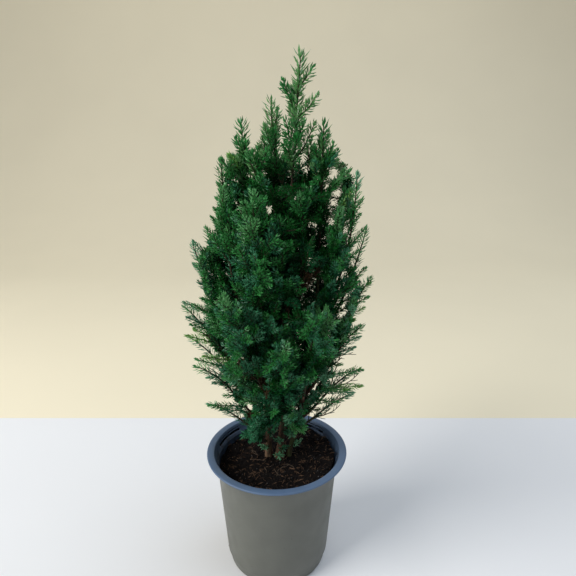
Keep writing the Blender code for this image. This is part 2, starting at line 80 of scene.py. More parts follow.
# Pot
POT_HEIGHT = 80 * MM
RIM_RADIUS = 45 * MM
MOUTH_RADIUS = 40.2 * MM
RIM_THICKNESS = 1.2 * MM
RIM_ROLL = 1.4 * MM
WALL = 1.0 * MM
WALL_TOP_RADIUS = 39.3 * MM
SHOULDER_DROP = 7 * MM
SHOULDER_STEP = 0.6 * MM
FOOT_TOP_RADIUS = 33.6 * MM
FOOT_HEIGHT = 8 * MM
FOOT_STEP = 0.5 * MM
BASE_RADIUS = 32.0 * MM
BASE_CHAMFER = 1.8 * MM
FLOOR = 1.4 * MM
DRAIN_COUNT = 6
DRAIN_RADIUS = 3.5 * MM
DRAIN_CIRCLE = 22 * MM
GAP = 0.3 * MM

# Compost
COMPOST_LEVEL = 72 * MM
COMPOST_SLOPE_X = 0.085
COMPOST_SLOPE_Y = 0.03
COMPOST_LUMP = 1.1 * MM
COMPOST_FLAT_RADIUS = 13 * MM

# Stems: the radius at the foot, at the top, and of the flare at the compost
STEM_STEPS = 9
FLARE_HEIGHT = 9 * MM
Stem = namedtuple("Stem", "foot_radius tip_radius flare route")
STEMS = {
    "trunk": Stem(2.5, 0.8, 1.45, [(1.8, 2.4, 72.3), (4.6, 1.0, 107), (7.0, 0, 181), (9.4, 0, 248)]),
    "stem_left": Stem(2.1, 0.7, 1.3, [(-5.4, 3.0, 72.3), (-6.2, 2.0, 107), (-11.3, 3, 180), (-15, 5, 216)]),
    "stem_right": Stem(1.6, 0.7, 1.2, [(7.7, 3.4, 72.3), (13.6, 0.5, 103), (23, 0, 160), (25.2, 0, 208)]),
}

# Boughs and plumes: each has a parent stem and the height where it leaves it, then the bearing,
# reach and height of its tip and the plume's half width. Bearing 0 is to the right, 90 behind.
# A share of 0 sets the plume straight on its stem, and any other share of the way is a bare bough.
Plume = namedtuple("Plume", "stem foot bearing reach height half_width share")
PLUMES = {
    "leader": Plume("trunk", None, 0, 13.9, 316.5, 13, 0),
    "spire_left": Plume("stem_left", None, 157, 20.2, 283, 9, 0),
    "spire_right": Plume("stem_right", None, 0, 26.4, 282, 11, 0),
    "crown_left": Plume("trunk", 236, 116, 4.4, 294, 8, 0),
    "crown_right": Plume("trunk", 204, 8, 20, 273, 9, 0),
    "crown_back": Plume("trunk", 202, 108, 16, 280, 10, 0),
    "crown_inner": Plume("trunk", 190, 204, 10, 269, 10, 0),
    "crown_front": Plume("trunk", 140, 322, 19.5, 250, 12, 0.34),
    "crown_rear": Plume("trunk", 140, 88, 32, 250, 12, 0),
    "shoulder_left": Plume("stem_left", 176, 180, 29.5, 263, 10, 0.3),
    "face_left": Plume("stem_left", 142, 207, 31.5, 249, 11, 0.32),
    "flank_left": Plume("stem_left", 150, 177, 40, 225, 11, 0.32),
    "wing_left": Plume("stem_left", 128, 187, 47.5, 217, 12, 0.34),
    "rear_left": Plume("stem_left", 132, 134, 41, 228, 13, 0.3),
    "reach_left": Plume("stem_left", 114, 176, 57.2, 177, 13, 0.34),
    "low_left": Plume("stem_left", 102, 168, 58, 153, 11, 0.32),
    "skirt_left": Plume("stem_left", 95, 192, 51, 143, 12, 0),
    "hem_left": Plume("stem_left", 86, 172, 46.8, 108, 9, 0),
    "sprig_left": Plume("stem_left", 83, 215, 27, 98, 8, 0),
    "shoulder_right": Plume("stem_right", 164, 355, 45, 256, 12, 0.34),
    "rear_right": Plume("stem_right", 155, 21, 43, 257, 11, 0.3),
    "face_right": Plume("stem_right", 132, 346, 36, 238, 12, 0.3),
    "flank_right": Plume("stem_right", 148, 4, 53, 224, 8, 0.3),
    "wing_right": Plume("stem_right", 116, 0, 56.5, 196, 13, 0.3),
    "reach_right": Plume("stem_right", 107, 353, 53, 168, 12, 0.28),
    "low_right": Plume("stem_right", 99, 8, 55, 133, 10, 0.28),
    "hem_right": Plume("stem_right", 92, 14, 52.5, 112, 9, 0),
    "front_tall": Plume("trunk", 104, 248, 27, 248, 14, 0.28),
    "front_middle": Plume("trunk", 124, 278, 21, 235, 11, 0.3),
    "front_left": Plume("trunk", 98, 232, 44, 193, 14, 0.26),
    "front_right": Plume("stem_right", 104, 303, 44, 184, 14, 0.26),
    "front_low": Plume("trunk", 90, 276, 43, 166, 13, 0),
    "back_left": Plume("trunk", 106, 122, 50, 188, 14, 0.28),
    "back_right": Plume("stem_right", 96, 56, 51, 180, 14, 0),
    "back_low": Plume("trunk", 92, 94, 49, 142, 14, 0),
}

# The crown's outline: heights and how far out the foliage reaches there, in millimetres
CROWN_OUTLINE = [
    (80, 24), (92, 38), (105, 48), (130, 53), (150, 57), (180, 59), (205, 55), (225, 51), (245, 46),
    (262, 41), (283, 33), (297, 22), (316, 8), (320, 3),
]
CROWN_LEAN = 14
LEAN_FROM = 180

FOOT_HANDLE = 0.3
FOOT_OUTWARD = 0.4
TIP_HANDLE = 0.36
LEVEL_BELOW = 105 * MM
UPRIGHT_ABOVE = 255 * MM
LEAST_LIFT = -0.1
PATH_STEPS = 24
LIMB_SAMPLES = 60
BOUGH_STEPS = 3
BOUGH_FOOT_RADIUS = 1.25 * MM
BOUGH_TIP_RADIUS = 0.85 * MM
PLUME_FOOT_RADIUS = 1.0 * MM
PLUME_TIP_RADIUS = 0.3 * MM

# Side shoots of a plume, set round its stem by the golden angle
GOLDEN_ANGLE = math.radians(137.5)
SHOOT_SPACING = 6.5 * MM
BARE_SHARE = 0.06
SHOOT_ANGLE_LOW = math.radians(46)
SHOOT_ANGLE_TIP = math.radians(27)
SHOOT_JITTER = math.radians(6)
LONGEST_SPRAY = 30 * MM
SHORTEST_SPRAY = 11 * MM
TWIG_LIFT = 0.25
TERMINAL_SPRAY = 24 * MM
TERMINAL_SHARE = 0.75
SHOOT_REACH = 2.1
FOOT_SHOOTS = 0.62
SHOOT_RISE = 1.1
SHOOT_FALL = 1.28
TIP_TAPER = 0.62
LEAST_OUTWARD = 12 * MM
STEM_CLEARANCE = 0.5 * MM
SPACE_CLEARANCE = 0.25 * MM
SPACE_WEIGHT = 0.15
SPRAY_ROLL = math.radians(50)
SPRAY_TURNS = (1, 0.7, 0.45)

# The finer shoots, which only the looks have
SHOOT_STEP = 2.6 * MM
LEAST_SHOOT = 3.5 * MM
BARE_TIP = 7 * MM
DENSE_BELOW = 238 * MM
OPEN_ABOVE = 276 * MM
# How far shoots may reach into the next plume's space, deep in the crown and at its surface,
# and where the surface starts, as a share of the outline
SLACK_INNER = 9 * MM
SLACK_OUTER = 2.4 * MM
SURFACE_FROM = 0.78
SURFACE_DEPTH = 0.35
INSIDE_SPACING = 5 * MM
INSIDE_FROM = {"trunk": 33 * MM, "stem_left": 30 * MM, "stem_right": 62 * MM}
DRY_BELOW = 190 * MM
# Where the crown's inside is filled: how far apart the places are looked at, how far from any shoot
# one counts as empty, the heights, the share of the outline, and the bare part low on the right
EMPTY_STEP = 6.5 * MM
EMPTY_RADIUS = 5.2 * MM
EMPTY_HEIGHTS = (122 * MM, 246 * MM)
EMPTY_REACH = 0.5
# The front view is backed in cells of this size, between these depths, up to this height
BACKING_CELL = 2.3 * MM
BACKING_DEPTHS = (7 * MM, 20 * MM)
BACKING_TOP = 262 * MM
BARE_FROM = 16 * MM
BARE_BELOW = 152 * MM
# Plumes whose tips are lower than this spread flatter, the lowest most
FLAT_BELOW = 175
# The crown's dense part as seen from the front: heights, and how far left and right it reaches there
EYE = np.array((7.2, -281.7, 272.6)) * MM
FRONT_OUTLINE = [
    (100, -22, 22), (110, -28, 25), (120, -29, 32), (130, -36, 38), (145, -40, 39), (160, -44, 47),
    (175, -46, 50), (190, -45, 53), (205, -47, 45), (220, -39, 44), (235, -35, 47), (250, -31, 46),
    (262, -29, 37), (276, -21, 30),
]
NEEDLE_ROOM = 2.2 * MM
# A shoot with room of 1 ends this much further in, in front and as a share of the outline
FRONT_ROOM = 1.2 * MM
REACH_ROOM = 0.16
OPENING_ROOM = 0.8
# Where the board shows through from the front: place across, height and radius, in millimetres
OPENINGS = [
    (18, 262, 3), (17, 255, 2), (20, 271, 2), (32, 254, 3), (28, 247, 2), (33, 238, 2), (36, 243, 2),
    (32, 227, 2), (40, 222, 2), (-3, 234, 2), (2, 267, 1), (1, 257, 1), (3, 247, 1), (-6, 254, 1), (11, 240, 1),
    (-22, 251, 2), (-14, 254, 2), (-21, 238, 1), (40, 173, 3), (40, 181, 2), (39, 197, 2), (24, 126, 2),
    (36, 137, 2), (12, 108, 1), (-18, 109, 3), (-25, 124, 2), (-33, 141, 2), (-44, 175, 2),
]
# Dark hollows between the front plumes, which only the front shoots leave free
HOLLOWS = [(-27, 198, 4), (20, 222, 5), (25, 190, 5), (6, 175, 4), (19, 151, 5)]
HOLLOW_DEPTH = 7 * MM
# Stem, height and bearing of each sprout over the compost, and its length
SPROUTS = [
    ("trunk", 74, 268, 9), ("trunk", 77, 292, 7), ("trunk", 84, 255, 8), ("trunk", 92, 300, 9),
    ("stem_left", 78, 240, 7), ("stem_left", 88, 300, 8), ("stem_right", 80, 320, 7),
    ("stem_right", 90, 250, 9), ("trunk", 98, 240, 10), ("stem_right", 97, 285, 9),
    ("stem_left", 96, 262, 9), ("stem_left", 84, 120, 8), ("stem_right", 86, 70, 9),
]


# ---- Settings ----


def length_setting(name, default, description, **more):
    return FloatProperty(name=name, default=default, description=description, unit="LENGTH", **more)


def colour_setting(name, default, description):
    return FloatVectorProperty(
        name=name, default=default, description=description, subtype="COLOR", size=3, min=0, max=1
    )


class CypressPotLook(bpy.types.PropertyGroup):
    """Sizes and colours of the pot"""

    sides: IntProperty(name="Sides", default=144, min=24, description="Faces round the pot")
    wall: colour_setting("Wall", (0.125, 0.129, 0.11), "Colour of the outer wall")
    rim: colour_setting("Rim", (0.086, 0.14, 0.235), "Colour of the rim and the inside")
    soil: colour_setting("Soil marks", (0.02, 0.016, 0.014), "Colour of the soil that clings to the wall")


class CypressCompostLook(bpy.types.PropertyGroup):
    """Sizes and colours of the compost and what lies on it"""

    dark: colour_setting("Dark", (0.0042, 0.0033, 0.0034), "Colour of the wet compost")
    light: colour_setting("Light", (0.0085, 0.0065, 0.006), "Colour of its drier crumbs")
    fibre: colour_setting("Fibre", (0.1, 0.06, 0.038), "Colour of the bark fibres")
    grit: colour_setting("Grit", (0.13, 0.125, 0.125), "Colour of the grit")
    root: colour_setting("Root", (0.17, 0.12, 0.085), "Colour of the fine roots")
    roughness: length_setting("Crumb height", 0.9 * MM, "How rough the surface is")
    crumbs: FloatProperty(name="Crumbs", default=420000, description="Crumbs to a square metre")
    fibres: FloatProperty(name="Fibres", default=120000, description="Fibres to a square metre")
    grains: FloatProperty(name="Grit", default=26000, description="Grains of grit to a square metre")


class CypressBarkLook(bpy.types.PropertyGroup):
    """Relief and colours of the bark"""

    sides: IntProperty(name="Sides", default=22, min=8, description="Faces round a stem")
    step: length_setting("Step", 0.9 * MM, "Distance between rings of points")
    relief: FloatProperty(name="Relief", default=0.34, description="Depth of the bark as a share of the radius")
    brown: colour_setting("Brown", (0.15, 0.085, 0.052), "Colour of the old bark")
    dark: colour_setting("Dark", (0.035, 0.019, 0.013), "Colour of its cracks")
    green: colour_setting("Green", (0.085, 0.1, 0.04), "Colour of the young bark")


class CypressShootLook(bpy.types.PropertyGroup):
    """How finely the plumes branch"""

    spacing: length_setting("Spacing", 3.2 * MM, "Distance between finer shoots")
    finest: length_setting("Finest", 2.8 * MM, "Distance between the finest shoots")
    twig: colour_setting("Twig", (0.05, 0.026, 0.016), "Colour of the woody twigs")
    stalk: colour_setting("Stalk", (0.028, 0.062, 0.018), "Colour of the green stalks")


class CypressNeedleLook(bpy.types.PropertyGroup):
    """Size, set and colours of the needles"""

    width: length_setting("Width", 0.92 * MM, "Width of a needle")
    splay: FloatProperty(
        name="Splay", default=math.radians(52), description="Angle to the shoot", subtype="ANGLE"
    )
    scatter: FloatProperty(
        name="Scatter", default=math.radians(13), description="How uneven the angles are", subtype="ANGLE"
    )
    # Fresh is partly the newest growth and partly painted light: it goes to the outermost tips
    fresh: colour_setting("Fresh", (0.16, 0.38, 0.07), "Colour of the newest tips")
    # Pale is painted light: the lit open top, paler and greyer
    pale: colour_setting("Pale", (0.1, 0.27, 0.08), "Colour of the sprays in the open top")
    # Bright is partly painted light: the outer sprays are dealt lighter tones than the inner ones
    bright: colour_setting("Bright", (0.075, 0.28, 0.08), "Colour of the outer sprays")
    green: colour_setting("Green", (0.026, 0.2, 0.04), "Colour of most sprays")
    # Deep is partly painted shade: the inner sprays are darker, besides being older
    deep: colour_setting("Deep", (0.004, 0.065, 0.009), "Colour of the inner sprays")
    # Silver is partly painted light: the outer sprays low down are lighter than the inner ones
    silver: colour_setting("Silver", (0.1, 0.3, 0.15), "Colour of the outer sprays low down")
    blue: colour_setting("Blue green", (0.028, 0.17, 0.075), "Colour of most sprays low down")
    shade: colour_setting("Shade", (0.004, 0.06, 0.018), "Colour of the inner sprays low down")
    dry: colour_setting("Dry", (0.06, 0.035, 0.018), "Colour of the dry needles inside")


class CypressStageLook(bpy.types.PropertyGroup):
    """Floor, backdrop and light"""

    floor: colour_setting("Floor", (0.84, 0.845, 0.86), "Colour of the floor")
    backdrop: colour_setting("Backdrop", (0.91, 0.825, 0.625), "Colour of what lies behind")
    edge: length_setting("Edge", 167 * MM, "How far behind the pot the floor ends")
    key: FloatProperty(name="Key", default=20, description="Power of the window light", unit="POWER")
    sky: FloatProperty(name="Sky", default=0.22, description="Strength of the light from all round")


LOOKS = {
    "cypress_pot": CypressPotLook,
    "cypress_compost": CypressCompostLook,
    "cypress_bark": CypressBarkLook,
    "cypress_shoots": CypressShootLook,
    "cypress_needles": CypressNeedleLook,
    "cypress_stage": CypressStageLook,
}


# ---- Materials and pieces ----


class Nodes:
    """Adds nodes to a tree, and links or sets their inputs by name."""

    def __init__(self, tree):
        self.tree = tree

    def __call__(self, kind, inputs=(), **settings):
        node = self.tree.nodes.new(kind)
        for name, value in settings.items():
            setattr(node, name, value)
        for key, value in dict(inputs).items():
            if isinstance(value, bpy.types.NodeSocket):
                self.tree.links.new(value, node.inputs[key])
            else:
                node.inputs[key].default_value = value
        return node

    def math(self, operation, *values):
        node = self("ShaderNodeMath", operation=operation)
        for socket, value in zip(node.inputs, values):
            if isinstance(value, bpy.types.NodeSocket):
                self.tree.links.new(value, socket)
            else:
                socket.default_value = value
        return node.outputs[0]

    def ramp(self, value, low, high):
        """0 below low and 1 above high, straight between."""
        made = self("ShaderNodeMapRange", {"Value": value, "From Min": low, "From Max": high})
        return made.outputs["Result"]

    def mix(self, share, first, second):
        made = self("ShaderNodeMix", data_type="RGBA")
        for key, value in (("Factor", share), ("A", first), ("B", second)):
            socket = [s for s in made.inputs if s.name == key and s.enabled][0]
            if isinstance(value, bpy.types.NodeSocket):
                self.tree.links.new(value, socket)
            else:
                socket.default_value = value if key == "Factor" else (*value, 1)
        return [s for s in made.outputs if s.enabled][0]


class Finish:
    """One procedural material on a Principled shader, in object coordinates."""

    def __init__(self, name, colour, roughness, specular=0.5):
        self.material = bpy.data.materials.new(name)
        self.material.use_nodes = True
        self.nodes = Nodes(self.material.node_tree)
        self.shader = self.material.node_tree.nodes["Principled BSDF"]
        self.shader.inputs["Base Color"].default_value = (*colour, 1)
        self.shader.inputs["Roughness"].default_value = roughness
        self.shader.inputs["Specular IOR Level"].default_value = specular
        self.material.diffuse_color = (*colour, 1)
        self.place = None

    def coordinates(self, stretch=(1, 1, 1)):
        if self.place is None:
            self.place = self.nodes("ShaderNodeTexCoord").outputs["Object"]
        if stretch == (1, 1, 1):
            return self.place
        return self.nodes("ShaderNodeMapping", {"Vector": self.place, "Scale": stretch}).outputs[0]

    def noise(self, scale, detail=3, stretch=(1, 1, 1)):
        inputs = {"Vector": self.coordinates(stretch), "Scale": scale, "Detail": detail}
        return self.nodes("ShaderNodeTexNoise", inputs).outputs["Fac"]

    def set(self, name, value):
        self.nodes.tree.links.new(value, self.shader.inputs[name])

    def bump(self, height, distance, strength=1.0):
        inputs = {"Height": height, "Distance": distance, "Strength": strength}
        self.set("Normal", self.nodes("ShaderNodeBump", inputs).outputs["Normal"])


def faded(colour, factor):
    return tuple(min(1, channel * factor) for channel in colour)


def new_object(name, mesh):
    made = bpy.data.objects.new(name, mesh)
    bpy.context.scene.collection.objects.link(made)
    return made


def mesh_from(bm, name, materials=(), smooth_angle=None):
    """Closes off a bmesh as an object, facing outwards."""
    bmesh.ops.recalc_face_normals(bm, faces=bm.faces)
    mesh = bpy.data.meshes.new(name)
    bm.to_mesh(mesh)
    bm.free()
    for material in materials:
        mesh.materials.append(material)
    if smooth_angle is not None:
        mesh.shade_smooth()
        mesh.set_sharp_from_angle(angle=smooth_angle)
    return new_object(name, mesh)


def finished(piece, nodes):
    """A finished piece rides on the plant and stands for its solids."""
    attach(piece, BODY)
    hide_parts(*nodes)
    return piece


def nodes_named(start):
    return sorted(name for name in frame["nodes"] if name.startswith(start))


def geometry_tree(name, sockets):
    """An empty geometry tree with its named inputs: the tree, its nodes and its input sockets by name."""
    tree = bpy.data.node_groups.new(name, "GeometryNodeTree")
    tree.interface.new_socket("Geometry", in_out="INPUT", socket_type="NodeSocketGeometry")
    for label, kind in sockets.items():
        tree.interface.new_socket(label, in_out="INPUT", socket_type=kind)
    tree.interface.new_socket("Geometry", in_out="OUTPUT", socket_type="NodeSocketGeometry")
    nodes = Nodes(tree)
    return tree, nodes, nodes("NodeGroupInput").outputs


def end_tree(nodes, geometry, material):
    """Every tree ends with its instances realized and its material set."""
    real = nodes("GeometryNodeRealizeInstances", {"Geometry": geometry}).outputs[0]
    painted = nodes("GeometryNodeSetMaterial", {"Geometry": real, "Material": material}).outputs[0]
    nodes("NodeGroupOutput", {"Geometry": painted})


def grown(name, source, tree, values):
    """Runs a geometry tree on a source object and keeps the result as a plain mesh."""
    modifier = source.modifiers.new("grow", "NODES")
    modifier.node_group = tree
    for item in tree.interface.items_tree:
        if item.in_out == "INPUT" and item.name in values:
            modifier[item.identifier] = values[item.name]
    bpy.context.view_layer.update()
    graph = bpy.context.evaluated_depsgraph_get()
    mesh = bpy.data.meshes.new_from_object(source.evaluated_get(graph))
    source.modifiers.clear()
    bpy.data.objects.remove(source, do_unlink=True)
    mesh.name = name
    if not mesh.polygons:
        raise RuntimeError(f"{name} came out empty")
    return new_object(name, mesh)


def polylines(name, lines, values):
    """A mesh of open lines, with a number for each point under each name in values."""
    points = [point for line in lines for point in line]
    edges, first = [], 0
    for line in lines:
        edges += [(first + step, first + step + 1) for step in range(len(line) - 1)]
        first += len(line)
    mesh = bpy.data.meshes.new(name)
    mesh.from_pydata(points, edges, [])
    for label, numbers in values.items():
        layer = mesh.attributes.new(label, "FLOAT", "POINT")
        layer.data.foreach_set("value", np.array(numbers, np.float32))
    return new_object(name, mesh)


# ---- The growth rule of the source ----


def bezier(a, b, c, d, steps):
    line = []
    for step in range(steps + 1):
        t = step / steps
        line.append((1 - t) ** 3 * a + 3 * (1 - t) ** 2 * t * b + 3 * (1 - t) * t**2 * c + t**3 * d)
    return line


def through(route, steps):
    """A smooth Catmull-Rom line through a few route points in millimetres."""
    points = [Vector(point) * MM for point in route]
    points = [2 * points[0] - points[1], *points, 2 * points[-1] - points[-2]]
    line = []
    spans = len(points) - 3
    for step in range(steps + 1):
        place = min(step * spans / steps, spans - 1e-9)
        index, t = int(place), place - int(place)
        a, b, c, d = points[index : index + 4]
        line.append(
            0.5 * (2 * b + (c - a) * t + (2 * a - 5 * b + 4 * c - d) * t**2 + (3 * b - a - 3 * c + d) * t**3)
        )
    return line


def point_on(line, share):
    """The point at a share of the way along an evenly stepped line."""
    place = min(max(share, 0), 1) * (len(line) - 1)
    index = min(int(place), len(line) - 2)
    return line[index].lerp(line[index + 1], place - index)


def tangent_on(line, share):
    step = 0.5 / (len(line) - 1)
    return (point_on(line, share + step) - point_on(line, share - step)).normalized()


def length_of(line):
    return sum((b - a).length for a, b in zip(line, line[1:]))


def cut_line(line, start, end, steps):
    return [point_on(line, start + (end - start) * step / steps) for step in range(steps + 1)]


def stem_radius(stem, height_share):
    """Taper of a stem, with the root flare near the compost."""
    body = stem.foot_radius + (stem.tip_radius - stem.foot_radius) * height_share
    rise = height_share * (stem.route[-1][2] - stem.route[0][2]) * MM / FLARE_HEIGHT
    return body * (1 + (stem.flare - 1) * max(0, 1 - rise) ** 2) * MM


def stem_point(stem, height):
    """Where a stem's centre line passes a height, in millimetres: the point, its radius and its way."""
    line = through(stem.route, STEM_STEPS)
    share = (height - stem.route[0][2]) / (stem.route[-1][2] - stem.route[0][2])
    for low, high in zip(line, line[1:]):
        if high.z >= height * MM:
            break
    place = low.lerp(high, (height * MM - low.z) / (high.z - low.z))
    return place, stem_radius(stem, share), (high - low).normalized()


def plume_line(plume):
    """The line from a bough's foot on its stem to the plume's tip, and the share of it left clear."""
    stem = STEMS[plume.stem]
    angle = math.radians(plume.bearing)
    tip = Vector((plume.reach * math.cos(angle), plume.reach * math.sin(angle), plume.height)) * MM
    if plume.foot is None:
        start = through(stem.route, PATH_STEPS)[-1]
        line = [start.lerp(tip, step / PATH_STEPS) for step in range(PATH_STEPS + 1)]
        return line, GAP / length_of(line)
    foot, radius, along_stem = stem_point(stem, plume.foot)
    chord = tip - foot
    outward = Vector((chord.x, chord.y, 0)).normalized()
    lift = (tip.z - LEVEL_BELOW) / (UPRIGHT_ABOVE - LEVEL_BELOW)
    lift = min(1, max(LEAST_LIFT, lift))
    leaving = (chord.normalized() + FOOT_OUTWARD * outward).normalized()
    arriving = (outward * (1 - abs(lift)) + Vector((0, 0, lift))).normalized()
    size = chord.length
    line = bezier(
        foot, foot + leaving * size * FOOT_HANDLE, tip - arriving * size * TIP_HANDLE, tip, PATH_STEPS
    )
    first = BOUGH_FOOT_RADIUS if plume.share else PLUME_FOOT_RADIUS
    sideways = leaving.cross(along_stem).length
    clear = (radius + 2 * GAP + first * abs(leaving.dot(along_stem))) / sideways
    return line, clear / length_of(line)


class Crown:
    """Says whose space a point is in: each plume's foliage stays nearest to its own stem."""

    def __init__(self, boughs, stems):
        limbs, radii = [], []
        for stem in STEMS.values():
            line = through(stem.route, LIMB_SAMPLES)
            foot, top = line[0].z, line[-1].z
            limbs += line
            radii += [stem_radius(stem, (point.z - foot) / (top - foot)) for point in line]
        for line in boughs.values():
            limbs += cut_line(line, 0, 1, LIMB_SAMPLES)
            radii += [BOUGH_FOOT_RADIUS] * (LIMB_SAMPLES + 1)
        self.limbs, self.radii = np.array(limbs), np.array(radii)
        self.names = list(stems)
        self.lines = np.array([cut_line(line, 0, 1, LIMB_SAMPLES) for line in stems.values()])
        self.weights = SPACE_WEIGHT * np.array([PLUMES[name].half_width for name in self.names]) * MM

    @staticmethod
    def seen(points, room=0.0):
        """Which points show inside the crown's front outline, and not in its openings or dark hollows."""
        across = EYE + (points - EYE) * (-EYE[1] / (points[:, 1:2] - EYE[1]))
        heights, left, right = zip(*FRONT_OUTLINE)
        x, z = across[:, 0] / MM, across[:, 2] / MM
        inset = (NEEDLE_ROOM + FRONT_ROOM * room) / MM
        free = (x > np.interp(z, heights, left) + inset) & (x < np.interp(z, heights, right) - inset)
        free |= z > heights[-1]
        for place, height, radius in OPENINGS:
            free &= np.hypot(x - place, z - height) > radius + OPENING_ROOM
        front = points[:, 1] < HOLLOW_DEPTH
        for place, height, radius in HOLLOWS:
            free &= ~front | (np.hypot(x - place, z - height) > radius)
        return free

    @staticmethod
    def reach(points):
        """How far out points are, as a share of the crown's outline at their height."""
        heights, radii = zip(*CROWN_OUTLINE)
        lean = CROWN_LEAN * np.clip((points[:, 2] / MM - LEAN_FROM) / (heights[-1] - LEAN_FROM), 0, 1)
        out = np.hypot(points[:, 0] / MM - lean, points[:, 1] / MM)
        return out / np.interp(points[:, 2] / MM, heights, radii)

    def free(self, points, name, slack=0.0, room=None):
        """Which points are in this plume's space, give or take the slack, and clear of the limbs."""
        points = np.array(points)
        limb_gaps = np.linalg.norm(points[:, None] - self.limbs[None], axis=2) - self.radii
        clear = (limb_gaps.min(axis=1) > STEM_CLEARANCE) & (self.reach(points) < 1 - REACH_ROOM * (room or 0))
        if room is not None:
            clear &= self.seen(points, room)
        if name is None:
            return clear
        gaps = np.linalg.norm(points[:, None, None] - self.lines[None], axis=3).min(axis=2)
        own = self.names.index(name)
        others = np.delete(gaps, own, axis=1)
        margin = np.delete(gaps - self.weights, own, axis=1).min(axis=1) - gaps[:, own] + self.weights[own]
        clear &= others.min(axis=1) > PLUME_FOOT_RADIUS + STEM_CLEARANCE - slack / 2
        return clear & (margin > 2 * SPACE_CLEARANCE - slack)


def facing_out(root, ahead):
    """A level way across a shoot, so that a blade set along it faces out from the crown's middle."""
    outward = Vector((root.x, root.y, 0))
    if outward.length < LEAST_OUTWARD:
        outward = Vector((0, -1, 0))
    return ahead.cross(outward).normalized()


# ---- Finer growth ----

Shoot = namedtuple("Shoot", "line radii needles spacing closing tone order")

TONES = ("fresh", "pale", "bright", "green", "deep", "silver", "blue", "shade", "dry")
# How much the needles of a tone shine
SHINES = {"deep": 0.15, "shade": 0.15, "green": 0.4, "blue": 0.45, "dry": 0.1}
BARE_BOUGHS = {"low_right"}
DRY_PLUMES = {"wing_right": 5, "reach_right": 7, "low_right": 7, "hem_right": 4, "reach_left": 4, "low_left": 5}
# By order of branching, from a plume's own stem to its finest shoots
NEEDLE_LENGTHS = (5.0 * MM, 3.9 * MM, 3.6 * MM, 3.3 * MM)
NEEDLE_SPACINGS = (1.05 * MM, 1.05 * MM, 0.95 * MM, 0.95 * MM)
LEADER_NEEDLE = 5.6 * MM
# How much longer and broader the needles are in the open top, and how much further apart
TOP_LONGER = 0.36
TOP_BROADER = 0.4
TOP_WIDER_SET = 0.15
# Single shoots at the top: the plume, the height where it leaves it, and its tip, in millimetres
TOP_SHOOTS = [
    ("leader", 299, (19.3, -3, 307)), ("leader", 287, (5, -2, 300.5)), ("leader", 283, (22, -4, 293.5)),
    ("leader", 289, (8.5, 5, 297)), ("leader", 270, (15.5, -6, 280.5)), ("leader", 261, (21, -3, 279.5)),
    ("leader", 291, (12.5, 8, 301)), ("leader", 280, (10, 10, 291)), ("leader", 274, (13, -7, 287)),
    ("leader", 268, (6, -6, 281)), ("leader", 262, (12, -8, 273)), ("leader", 258, (7, -8, 269)),
    ("crown_left", 262, (-5, -3, 278)), ("crown_left", 276, (1.5, 2, 286)), ("crown_left", 268, (0.5, 9, 279)),
    ("crown_left", 266, (0.5, -3, 276)), ("spire_right", 258, (31, -3, 269)), ("spire_right", 255, (22, -3, 268)),
    ("spire_right", 252, (34, 2, 265.5)), ("spire_right", 264, (25, 7, 273)), ("spire_right", 268, (28.5, 2, 275)),
    ("spire_left", 262, (-16, -2, 270)), ("spire_left", 265, (-20.5, 1, 272)), ("spire_left", 258, (-17, 7, 268)),
    ("spire_left", 238, (-24, -2, 253)), ("spire_left", 232, (-22, -4, 247)), ("spire_left", 240, (-13, -3, 255)),
    ("crown_back", 264, (-7, 14, 272)), ("crown_back", 262, (-1, 19, 272)), ("crown_right", 258, (18, -3, 268)),
    ("crown_right", 257, (22, 7, 266)), ("crown_inner", 256, (-11.5, -7, 265)), ("crown_inner", 257, (-4, -8, 266)),
]
TOP_SHOOTS_FROM = 254 * MM
# Tips of the single shoots at the crown's edge as seen from the front, from the lowest up on the right
# and then on the left: how far across and how high, in millimetres
EDGE_TIPS = [
    (28, 108), (39, 115), (50, 118), (47, 122), (54, 127), (55, 134), (41, 141), (40, 146), (49, 152), (52, 158),
    (52, 165), (49, 168), (54, 176), (55, 185), (57, 192), (53, 202), (47, 202), (48, 212), (46, 217), (52, 226),
    (48, 233), (49, 242), (47, 249), (42, 257), (39, 257), (34, 265), (-37, 107), (-44, 110), (-34, 119),
    (-36, 124), (-40, 129), (-44, 131), (-51, 142), (-46, 145), (-56, 158), (-51, 162), (-52, 167), (-54, 171),
    (-50, 179), (-56, 180), (-45, 183), (-47, 192), (-49, 203), (-48, 217), (-39, 221), (-40, 225), (-37, 231),
    (-35, 236), (-33, 242), (-32, 250), (-30, 263), (-26, 265), (-10, 270),
]
# Edge shoots lie flat at the lower height and rise at the angle at the upper one
EDGE_FLAT_AT = 118
EDGE_STEEP_AT = 225
EDGE_ANGLE = 52
EDGE_DENSER = 0.75
SKIRT_SHOOTS = 12
# How far short of the outline side shoots end, dealt to them at random
ROOMS = (0.2, 0.6, 1, 1, 1)


def arc(root, ahead, length, towards, turning, rng, wobble=0.05):
    """A shoot's line, which turns little by little towards a direction."""
    count = max(2, round(length / SHOOT_STEP))
    line = [root]
    for _ in range(count):
        stray = Vector([rng.uniform(-wobble, wobble) for _ in range(3)])
        ahead = (ahead + towards * (turning / count) + stray).normalized()
        line.append(line[-1] + ahead * (length / count))
    return line


def beside(along, turn):
    """A way square to a line, turned round it."""
    return Matrix.Rotation(turn, 3, along) @ along.orthogonal().normalized()


def slender(point):
    """0 in the dense part of the crown and 1 in its open top."""
    return min(1, max(0, (point.z - DENSE_BELOW) / (OPEN_ABOVE - DENSE_BELOW)))


